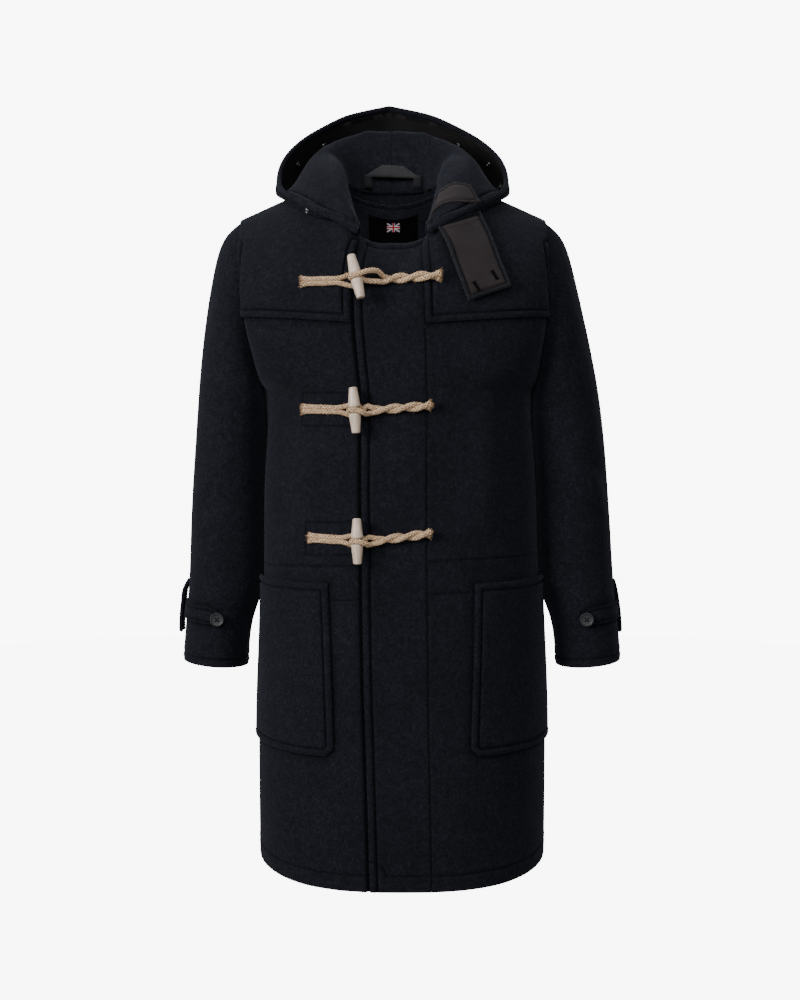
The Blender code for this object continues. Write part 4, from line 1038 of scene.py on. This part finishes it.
def turnedMesh(name, profile, steps, centre, axis, look):
    # a turned piece from its profile of (radius, height), bottom up, about an axis
    turn = Vector(axis).to_track_quat("Z", "Y").to_matrix()
    points, rings = [], []
    for radius, height in profile:
        count = 1 if radius < 1e-6 else steps
        rings.append((len(points), count))
        for k in range(count):
            angle = 2 * math.pi * k / steps
            local = Vector((radius * math.cos(angle), radius * math.sin(angle), height))
            points.append(tuple(turn @ local + Vector(centre)))
    faces = []
    for (first, count), (second, nextCount) in zip(rings[:-1], rings[1:]):
        for k in range(steps):
            a, b = first + k % count, first + (k + 1) % count
            c, d = second + (k + 1) % nextCount, second + k % nextCount
            faces.append([p for i, p in enumerate((a, b, c, d)) if p not in (a, b, c, d)[:i]])
    return addMesh(name, points, faces, look)


toggleSize = {"middle": 0.0088, "end": 0.0056, "rounding": 0.0020, "groove": 0.0045, "grooveHalf": 0.0034}


def makeToggle(name):
    size = toggleSize
    middle, axis, low, high = mainAxis(name, True)
    half = (high - low) / 2
    centre = middle + axis * (low + high) / 2
    foot = np.linspace(-half, -half + size["rounding"], 7)
    heights = np.concatenate([foot, np.linspace(-half + 0.004, half - 0.004, 46), -foot[::-1]])
    profile = [(0.0, -half)]
    for height in heights:
        share = abs(height) / half
        radius = size["middle"] + (size["end"] - size["middle"]) * share ** 1.15
        into = max(0.0, abs(height) - half + size["rounding"]) / size["rounding"]
        radius -= size["rounding"] * 0.8 * (1.0 - math.sqrt(max(0.0, 1.0 - into * into)))
        edge = float(smoothStep(abs(height), size["grooveHalf"], size["grooveHalf"] + 0.0014))
        profile.append((size["groove"] + (radius - size["groove"]) * edge, height))
    profile.append((0.0, half))
    return turnedMesh(name + "Turned", profile, 48, centre, axis, paleHorn)


def smoothLine(points, step):
    # points at even steps on a smooth curve through the given ones
    points = np.asarray(points, float)
    keys = np.concatenate([[0.0], np.cumsum(np.linalg.norm(np.diff(points, axis=0), axis=1))])
    slopes = np.gradient(points, keys, axis=0)
    at = np.linspace(0.0, keys[-1], max(4, int(keys[-1] / step)) + 1)
    i = np.clip(np.searchsorted(keys, at) - 1, 0, len(keys) - 2)
    width = (keys[i + 1] - keys[i])[:, None]
    t = ((at - keys[i]) / (keys[i + 1] - keys[i]))[:, None]
    start = (1 + 2 * t) * (1 - t) ** 2 * points[i] + t * t * (3 - 2 * t) * points[i + 1]
    return start + width * (t * (1 - t) ** 2 * slopes[i] - t * t * (1 - t) * slopes[i + 1]), at


def cordLine(name):
    # the middle line of a cord's node, read ring by ring from one end
    mesh = bmesh.new()
    mesh.from_mesh(nodes[name].data)
    mesh.transform(nodes[name].matrix_world)
    bmesh.ops.remove_doubles(mesh, verts=mesh.verts, dist=0.00001)
    shared = [edge for edge in mesh.edges if len(edge.link_faces) == 2]
    sharp = [edge for edge in shared if edge.calc_face_angle(0.0) > math.radians(70)]
    ring, grown = set(sharp[0].verts), True
    while grown:
        fresh = {v for edge in sharp if ring.intersection(edge.verts) for v in edge.verts} - ring
        grown = bool(fresh)
        ring |= fresh
    rings, seen = [ring], set(ring)
    while True:
        fresh = {edge.other_vert(v) for v in rings[-1] for edge in v.link_edges} - seen
        if not fresh:
            break
        rings.append(fresh)
        seen |= fresh
    centres = np.array([np.mean([v.co[:] for v in ring], axis=0) for ring in rings])
    mesh.free()
    return centres


def carriedFrame(line):
    # two directions across the line that turn as little as they can along it
    run = unit(np.gradient(line, axis=0))
    up = unit(np.cross(run[0], (0.31, 0.17, 1.0)))
    ups = []
    for way in run:
        up = up - way * np.dot(up, way)
        up = up / np.linalg.norm(up)
        ups.append(up)
    ups = np.array(ups)
    return run, ups, np.cross(run, ups)


ropeLooks = {
    # a round braid of 8 strands that go over and under each other
    "flat": {"radius": 0.00094, "ring": 0.00222, "flare": 0.34},
    "twisted": {"radius": 0.00102, "ring": 0.00236, "flare": 0.60},
}
braid = {"strands": 8, "pitch": 0.019, "weave": 0.00052, "step": 0.0009, "flareLength": 0.0085}
braid.update({"sides": 9, "ply": 0.0042, "plyDepth": 0.13})
yarns = {"ends": 44, "strays": 70, "thickness": (0.00040, 0.00038, 0.00034, 0.00022), "strayShare": 0.26}
yarnSteps = (0.0, 0.35, 0.7, 1.0)


def makeRope(name):
    look = ropeLooks["flat" if name.startswith("flat") else "twisted"]
    line, travel = smoothLine(cordLine(name), braid["step"])
    run, ups, sides = carriedFrame(line)
    toEnd = np.minimum(travel, travel[-1] - travel)
    spread = 1.0 + look["flare"] * (1.0 - smoothStep(toEnd, 0.0, braid["flareLength"]))
    lines, ringUps, paintedShadeRows, tones, radiusRows = [], [], [], [], []
    turn = 2 * np.pi * travel / braid["pitch"]
    corners = 2 * np.pi * np.arange(braid["sides"]) / braid["sides"]
    # painted shade: each strand is darker on its side toward the rope's core, between the strands
    depth = np.broadcast_to(0.5 + 0.5 * np.cos(corners - np.pi / 2)[None], (len(line), braid["sides"]))
    for k in range(braid["strands"]):
        way = 1 if k % 2 else -1
        angle = way * turn + 2 * np.pi * (k // 2) / (braid["strands"] // 2)
        ring = look["ring"] * spread + way * braid["weave"] * np.cos(4 * turn)
        across = np.cos(angle)[:, None] * ups + np.sin(angle)[:, None] * sides
        lines.append(line + across * ring[:, None])
        ringUps.append(across)
        plies = np.cos(3 * corners[None] - way * 2 * np.pi * travel[:, None] / braid["ply"])
        radiusRows.append(look["radius"] * (1.0 + braid["plyDepth"] * plies))
        paintedShadeRows.append(depth)
        tones.append(np.full((len(line), braid["sides"]), draws.random()))
    points, faces = tubeParts(np.array(lines), np.array(radiusRows), np.array(ringUps), braid["sides"])
    values = {"depth": np.array(paintedShadeRows).ravel(), "tone": np.array(tones).ravel()}
    rope = addMesh(name + "Rope", points, faces, jute, values)
    tufts, tuftUps = [], []
    for end, way in ((0, -1.0), (-1, 1.0)):
        for _ in range(yarns["ends"]):  # loose yarn ends
            turn, reach = draws.random() * 2 * math.pi, math.sqrt(draws.random())
            across = math.cos(turn) * ups[end] + math.sin(turn) * sides[end]
            start = line[end] + across * reach * look["ring"] * spread[end] * 1.25 - run[end] * way * 0.0016
            ahead = run[end] * way + across * reach * 0.42 + draws.normal(0.0, 0.10, 3)
            length = 0.0028 + 0.0022 * draws.random()
            bend = draws.normal(0.0, 0.16, 3)
            tufts.append([start + ahead * length * s + bend * length * s * s for s in yarnSteps])
            tuftUps.append([across] * 4)
        for k in draws.integers(4, len(line) - 4, yarns["strays"]):  # stray fibres
            turn = draws.random() * 2 * math.pi
            across = math.cos(turn) * ups[k] + math.sin(turn) * sides[k]
            ahead = unit(across * 0.5 + run[k] * draws.choice((-1.0, 1.0)) + draws.normal(0.0, 0.3, 3))
            start = line[k] + across * (look["ring"] + look["radius"] * 0.7)
            tufts.append([start + ahead * 0.0032 * s + across * 0.0012 * s * s for s in yarnSteps])
            tuftUps.append([across] * 4)
    loose = np.arange(len(tufts)) % (yarns["ends"] + yarns["strays"]) < yarns["ends"]
    thick = np.where(loose, 1.0, yarns["strayShare"])[:, None] * np.array(yarns["thickness"])
    tuftPoints, tuftFaces = tubeParts(np.array(tufts), thick, np.array(tuftUps), 4)
    values = {"depth": np.full(len(tuftPoints), 0.55), "tone": np.repeat(draws.random(len(tufts)), 16)}
    return rope, addMesh(name + "Yarns", tuftPoints, tuftFaces, jute, values)


buttonSize = {"radius": 0.0102, "height": 0.0036, "rim": 0.0021, "hole": 0.00120, "spacing": 0.0020}
buttonSize.update({"steps": 64, "sharp": 35, "threadGap": 0.00035, "threadRadius": 0.00030})


def makeButton(name):
    size = buttonSize
    middle, axis, low, high = mainAxis(name, False)
    if axis[1] > 0:
        axis, low, high = -axis, -high, -low
    base = middle + axis * low
    radius, height, rim = size["radius"], size["height"], size["rim"]
    profile = [(0.0, 0.0), (radius - 0.0016, 0.0), (radius - 0.0004, 0.0009), (radius, 0.0018)]
    profile += [(radius - 0.0001, height - 0.0008), (radius - 0.0007, height - 0.0001)]
    profile += [(radius - 0.0013, height)]
    profile += [(radius - rim + 0.0006, height - 0.0002), (radius - rim, height - 0.0009)]
    profile += [(radius - rim - 0.0012, height - 0.0013), (0.0030, height - 0.0013), (0.0, height - 0.0012)]
    button = turnedMesh(name + "Turned", profile, size["steps"], base, axis, darkHorn)
    turn = Vector(axis).to_track_quat("Z", "Y").to_matrix()
    cutters = bmesh.new()
    for x in (-1, 1):
        for y in (-1, 1):
            local = Vector((x * size["spacing"], y * size["spacing"], height / 2))
            place = Matrix.Translation(Vector(base) + turn @ local) @ turn.to_4x4()
            shape = {"radius1": size["hole"], "radius2": size["hole"], "depth": 2 * height}
            bmesh.ops.create_cone(cutters, cap_ends=True, segments=16, matrix=place, **shape)
    holes = bpy.data.meshes.new("buttonHoles")
    cutters.to_mesh(holes)
    cutters.free()
    cutter = bpy.data.objects.new("buttonHoles", holes)
    bpy.context.scene.collection.objects.link(cutter)
    cut = button.modifiers.new("Holes", "BOOLEAN")
    cut.object = cutter
    cut.solver = "EXACT"
    bpy.context.view_layer.update()
    made = bpy.data.meshes.new_from_object(button.evaluated_get(bpy.context.evaluated_depsgraph_get()))
    button.modifiers.clear()
    button.data = made
    made.shade_smooth()
    made.set_sharp_from_angle(angle=math.radians(size["sharp"]))
    bpy.data.objects.remove(cutter)
    lines, ups = [], []
    for x, y in ((-1, -1), (-1, 1)):  # crossed threads
        for side in (-size["threadGap"], 0.0, size["threadGap"]):
            line = []
            for s in (-1.0, -0.75, -0.3, 0.3, 0.75, 1.0):
                rise = height - 0.0012 + 0.0007 * (1 - s * s) - 0.0009 * (abs(s) > 0.95)
                local = (x * s * size["spacing"] + side, y * s * size["spacing"] + side * x * y, rise)
                line.append(tuple(Vector(base) + turn @ Vector(local)))
            lines.append(line)
            ups.append([tuple(axis)] * 6)
    points, faces = tubeParts(np.array(lines), size["threadRadius"], np.array(ups), 6)
    return button, addMesh(name + "Thread", points, faces, thread)


# a press stud from its back up, as radius and height: a domed ring round a sunk socket
studProfile = [(0.0, 0.0), (0.0043, 0.0), (0.0045, 0.0005), (0.0044, 0.0012), (0.0040, 0.0019)]
studProfile += [(0.0035, 0.0023), (0.0030, 0.0024), (0.0025, 0.0021), (0.0022, 0.0014)]
studProfile += [(0.0021, 0.0010), (0.0012, 0.0010), (0.0010, 0.0013), (0.0, 0.0014)]


def makeStud(name):
    middle, axis, low, high = mainAxis(name, False)
    hoods = [tree for key, tree in nodeTrees.items() if key.startswith("hood")]
    near = min((tree.find_nearest(Vector(middle)) for tree in hoods), key=lambda hit: hit[3])[0]
    if np.dot(axis, middle - np.array(near)) < 0:
        axis, low, high = -axis, -high, -low
    return turnedMesh(name + "Turned", studProfile, 32, middle + axis * low, axis, steel)


hangerSize = {"leg": 0.0125, "legTop": 0.0190, "top": 0.0155, "thickness": 0.0007, "slope": 0.0035}
hangerSize.update({"columns": 12, "rows": 4})


def makeHanger():
    # a folded tape: two legs, and the band that joins them in front
    size = hangerSize
    points = nodePoints("hanger_loop")
    low, high = points.min(axis=0), points.max(axis=0)
    wide, tall = (high[0] - low[0]) / 2, high[2] - low[2]
    middle = (low + high) / 2
    shapes = []
    for side in (-1, 1):
        outer, inner = side * (wide - 0.0003), side * (wide - size["leg"])
        rows = [(outer, 0.0), (inner, 0.0), (inner, size["legTop"]), (outer, size["legTop"])]
        shapes.append((rows, 0.0006))
    drop = size["slope"]
    band = [(-wide, tall * 0.50), (wide, tall * 0.50 - drop)]
    band += [(size["top"], tall - 0.4 * drop), (-size["top"], tall)]
    shapes.append((band, -0.0004))
    mesh = bmesh.new()
    for part, (rows, back) in enumerate(shapes):
        a, b, c, d = np.array(rows)
        grid = []
        for v in np.linspace(0.0, 1.0, size["rows"] + 1):
            line = []
            for u in np.linspace(0.0, 1.0, size["columns"] + 1):
                x, z = (1 - v) * ((1 - u) * a + u * b) + v * ((1 - u) * d + u * c)
                curve = -0.0006 * math.sin(math.pi * v) - 0.0004 * math.sin(math.pi * u)
                line.append(mesh.verts.new((middle[0] + x, middle[1] + back + curve, low[2] + z)))
            grid.append(line)
        for j in range(size["rows"]):
            for k in range(size["columns"]):
                face = mesh.faces.new((grid[j][k], grid[j][k + 1], grid[j + 1][k + 1], grid[j + 1][k]))
                # the legs take the darker copy of the tape cloth: painted shade behind the band
                face.material_index = 0 if part == 2 else 1
    bmesh.ops.recalc_face_normals(mesh, faces=mesh.faces)
    data = bpy.data.meshes.new("hangerTape")
    mesh.to_mesh(data)
    mesh.free()
    data.materials.append(loopCloth)
    data.materials.append(loopPaintedShade)
    data.shade_smooth()
    tape = bpy.data.objects.new("hangerTape", data)
    bpy.context.scene.collection.objects.link(tape)
    thick = tape.modifiers.new("Thickness", "SOLIDIFY")
    thick.thickness = size["thickness"]
    thick.offset = 0.0
    return tape


flagSize = {"width": 0.0200, "height": 0.0126, "cell": 0.00040, "raise": 0.00016, "up": 0.0042}
flagBars = {"cross": 0.00115, "crossEdge": 0.0018, "slant": 0.0003, "slantEdge": 0.0010}  # half widths
flagColours = [
    ("flagBlue", (0.003, 0.004, 0.022), (0.006, 0.009, 0.042)),
    ("flagWhite", (0.32, 0.31, 0.31), (0.42, 0.41, 0.41)),
    ("flagRed", (0.17, 0.002, 0.005), (0.25, 0.003, 0.008)),
]


def flagPart(x, y):
    # 0 blue, 1 white, 2 red, at a place measured from the flag's middle
    wide, tall = flagSize["width"] / 2, flagSize["height"] / 2
    upright = min(abs(x), abs(y))
    if upright < flagBars["crossEdge"]:
        return 2 if upright < flagBars["cross"] else 1
    slant = min(abs(x * tall - y * wide), abs(x * tall + y * wide)) / math.hypot(wide, tall)
    return 2 if slant < flagBars["slant"] else 1 if slant < flagBars["slantEdge"] else 0


def makeFlag():
    size = flagSize
    tree = shellTree("neck_label")
    points = nodePoints("neck_label")
    middle = (points.min(axis=0) + points.max(axis=0)) / 2
    columns, rows = int(size["width"] / size["cell"]), int(size["height"] / size["cell"])
    grid = []
    for j in range(rows + 1):
        for k in range(columns + 1):
            x = middle[0] - size["width"] / 2 + size["width"] * k / columns
            z = middle[2] + size["up"] - size["height"] / 2 + size["height"] * j / rows
            hit, normal, _, _ = tree.ray_cast(Vector((x, 0.0, z)), Vector((0.0, 1.0, 0.0)))
            if hit is None:
                hit, normal, _, _ = tree.find_nearest(Vector((x, middle[1], z)))
            grid.append(tuple(hit + normal * size["raise"] * (-1.0 if normal.y > 0 else 1.0)))
    faces, parts = [], []
    for j in range(rows):
        for k in range(columns):
            a = j * (columns + 1) + k
            faces.append((a, a + 1, a + columns + 2, a + columns + 1))
            x = (k + 0.5) / columns * size["width"] - size["width"] / 2
            parts.append(flagPart(x, (j + 0.5) / rows * size["height"] - size["height"] / 2))
    looks = [makePlain(name, deep, light, 2600.0, 0.75) for name, deep, light in flagColours]
    flag = addMesh("neckFlag", grid, faces, looks[0])
    for look in looks[1:]:
        flag.data.materials.append(look)
    flag.data.polygons.foreach_set("material_index", parts)
    return flag


tabHoles = {
    "places": [(0.1045, -0.1190), (0.1301, -0.1033)],
    "length": 0.0120,
    "width": 0.0019,
    "lean": 0.62,
    "rows": [(-1.0, -0.0001), (-0.5, 0.0003), (0.0, 0.00035), (0.5, 0.0003), (1.0, -0.0001)],  # side, height
}


def makeButtonholes():
    # two worked buttonholes near the end of the throat tab
    size = tabHoles
    tree = shellTree("throat_tab")
    lines, ups = [], []
    for x, z in size["places"]:
        for k in range(15):
            share = k / 14 - 0.5
            middle = (x + share * size["length"] * size["lean"], z - share * size["length"])
            row, normals = [], []
            for side, height in size["rows"]:
                wide = size["width"] * (1.0 + 0.7 * (abs(share) > 0.44))
                place = Vector((middle[0] + side * wide, -1.0, middle[1] + side * wide * size["lean"]))
                hit, normal, _, _ = tree.ray_cast(place, Vector((0.0, 1.0, 0.0)))
                if hit is None:
                    break
                row.append(tuple(hit + normal * height))
                normals.append(tuple(normal))
            if len(row) == 5:
                lines.append(row)
                ups.append(normals)
    points, faces = tubeParts(np.array(lines), 0.00042, np.array(ups), 5)
    return addMesh("tabButtonholes", points, faces, blackThread)


def replaceNode(name, pieces):
    for piece in pieces:
        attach(piece, "root")
    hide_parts(name)


for name in sorted(nodes):
    if name.startswith("toggle"):
        replaceNode(name, [makeToggle(name)])
    elif "cord" in name:
        replaceNode(name, makeRope(name))
    elif name.startswith("cuff_button"):
        replaceNode(name, makeButton(name))
    elif name.startswith("press_stud"):
        replaceNode(name, [makeStud(name)])
    elif name == "hanger_loop":
        hanger = makeHanger()
        replaceNode(name, [hanger])
for extra, slot in ((makeFlag(), "label_cloth"), (makeButtonholes(), "charcoal_cloth")):
    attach(extra, "root")
print("toggles, cords, buttons, studs, hanger, flag and buttonholes made")


cameraPlace = {"location": (0.0, -2.15, -0.2745), "pitch": 3.938, "lens": 52.3, "sensor": 36.0}
roomSizes = {"floor": -1.16, "radius": 4.6, "height": 5.0, "cove": 1.2, "sides": 72, "glow": 8.4}


def makeCamera():
    data = bpy.data.cameras.new("camera")
    data.lens = cameraPlace["lens"]
    data.sensor_width = cameraPlace["sensor"]
    camera = bpy.data.objects.new("camera", data)
    camera.location = cameraPlace["location"]
    camera.rotation_euler = (math.radians(90.0 - cameraPlace["pitch"]), 0.0, 0.0)
    bpy.context.scene.collection.objects.link(camera)
    bpy.context.scene.camera = camera


def makeRoom():
    # a round pale floor that sweeps up into a wall
    room = roomSizes
    profile = []
    for k in range(13):
        angle = math.pi / 2 * k / 12
        radius = room["radius"] - room["cove"] * (1.0 - math.sin(angle))
        profile.append((radius, room["floor"] + room["cove"] * (1.0 - math.cos(angle))))
    profile.append((room["radius"], room["height"]))
    sides = room["sides"]
    turns = [2 * math.pi * k / sides for k in range(sides)]
    points = [(r * math.cos(turn), r * math.sin(turn), z) for r, z in profile for turn in turns]
    faces = [tuple(range(sides))]
    for row in range(len(profile) - 1):
        for k in range(sides):
            a, b = row * sides + k, row * sides + (k + 1) % sides
            faces.append((a, b, b + sides, a + sides))
    shader = Shader("palePaper")
    grain = shader.noise(3.0, 2.0)
    paper = shader.ramp(grain, (0.3, (0.90, 0.90, 0.90)), (0.7, (0.915, 0.915, 0.915)))
    shader.set(Base_Color=paper, Roughness=0.9)
    shader.set(Specular_IOR_Level=0.0, Emission_Color=(1.0, 1.0, 1.0, 1.0), Emission_Strength=room["glow"])
    floor = addMesh("floorSweep", points, faces, shader.material)
    floor.visible_diffuse = False  # its glow doesn't light the coat
    floor.visible_glossy = False
    floor.visible_shadow = False


lamps = [
    # name, place, aim, size, power
    ("key", (-2.3, -1.9, 0.55), (0.0, 0.0, -0.35), 1.3, 92.0),
    ("fill", (2.2, -2.4, 0.3), (0.0, 0.0, -0.45), 2.0, 14.0),
    ("front", (-0.2, -3.2, 0.9), (0.0, 0.0, -0.20), 1.4, 44.0),
    ("top", (0.0, 0.2, 2.4), (0.0, 0.0, -0.1), 1.4, 16.0),
    ("back", (0.5, 3.2, 0.3), (0.0, 0.0, -0.40), 1.6, 75.0),
    ("neck", (-0.01, -2.4, 0.62), (-0.012, 0.1, -0.015), 0.06, 290.0),
]
neckCone = 4.3  # degrees, for the small light into the neck
skyPower = 0.20


def makeLights():
    for name, place, aim, size, power in lamps:
        data = bpy.data.lights.new(name, "SPOT" if name == "neck" else "AREA")
        data.energy = power
        if name == "neck":
            data.shadow_soft_size = size
            data.spot_size = math.radians(neckCone)
            data.spot_blend = 1.0
        else:
            data.shape = "DISK"
            data.size = size
        lamp = bpy.data.objects.new(name, data)
        lamp.location = place
        lamp.visible_camera = False
        lamp.rotation_euler = (Vector(aim) - Vector(place)).to_track_quat("-Z", "Y").to_euler()
        bpy.context.scene.collection.objects.link(lamp)
    world = bpy.data.worlds.new("studio")
    world.use_nodes = True
    world.node_tree.nodes["Background"].inputs["Color"].default_value = (1.0, 1.0, 1.0, 1.0)
    world.node_tree.nodes["Background"].inputs["Strength"].default_value = skyPower
    bpy.context.scene.world = world


makeCamera()
makeRoom()
makeLights()
print("camera, floor and light made")
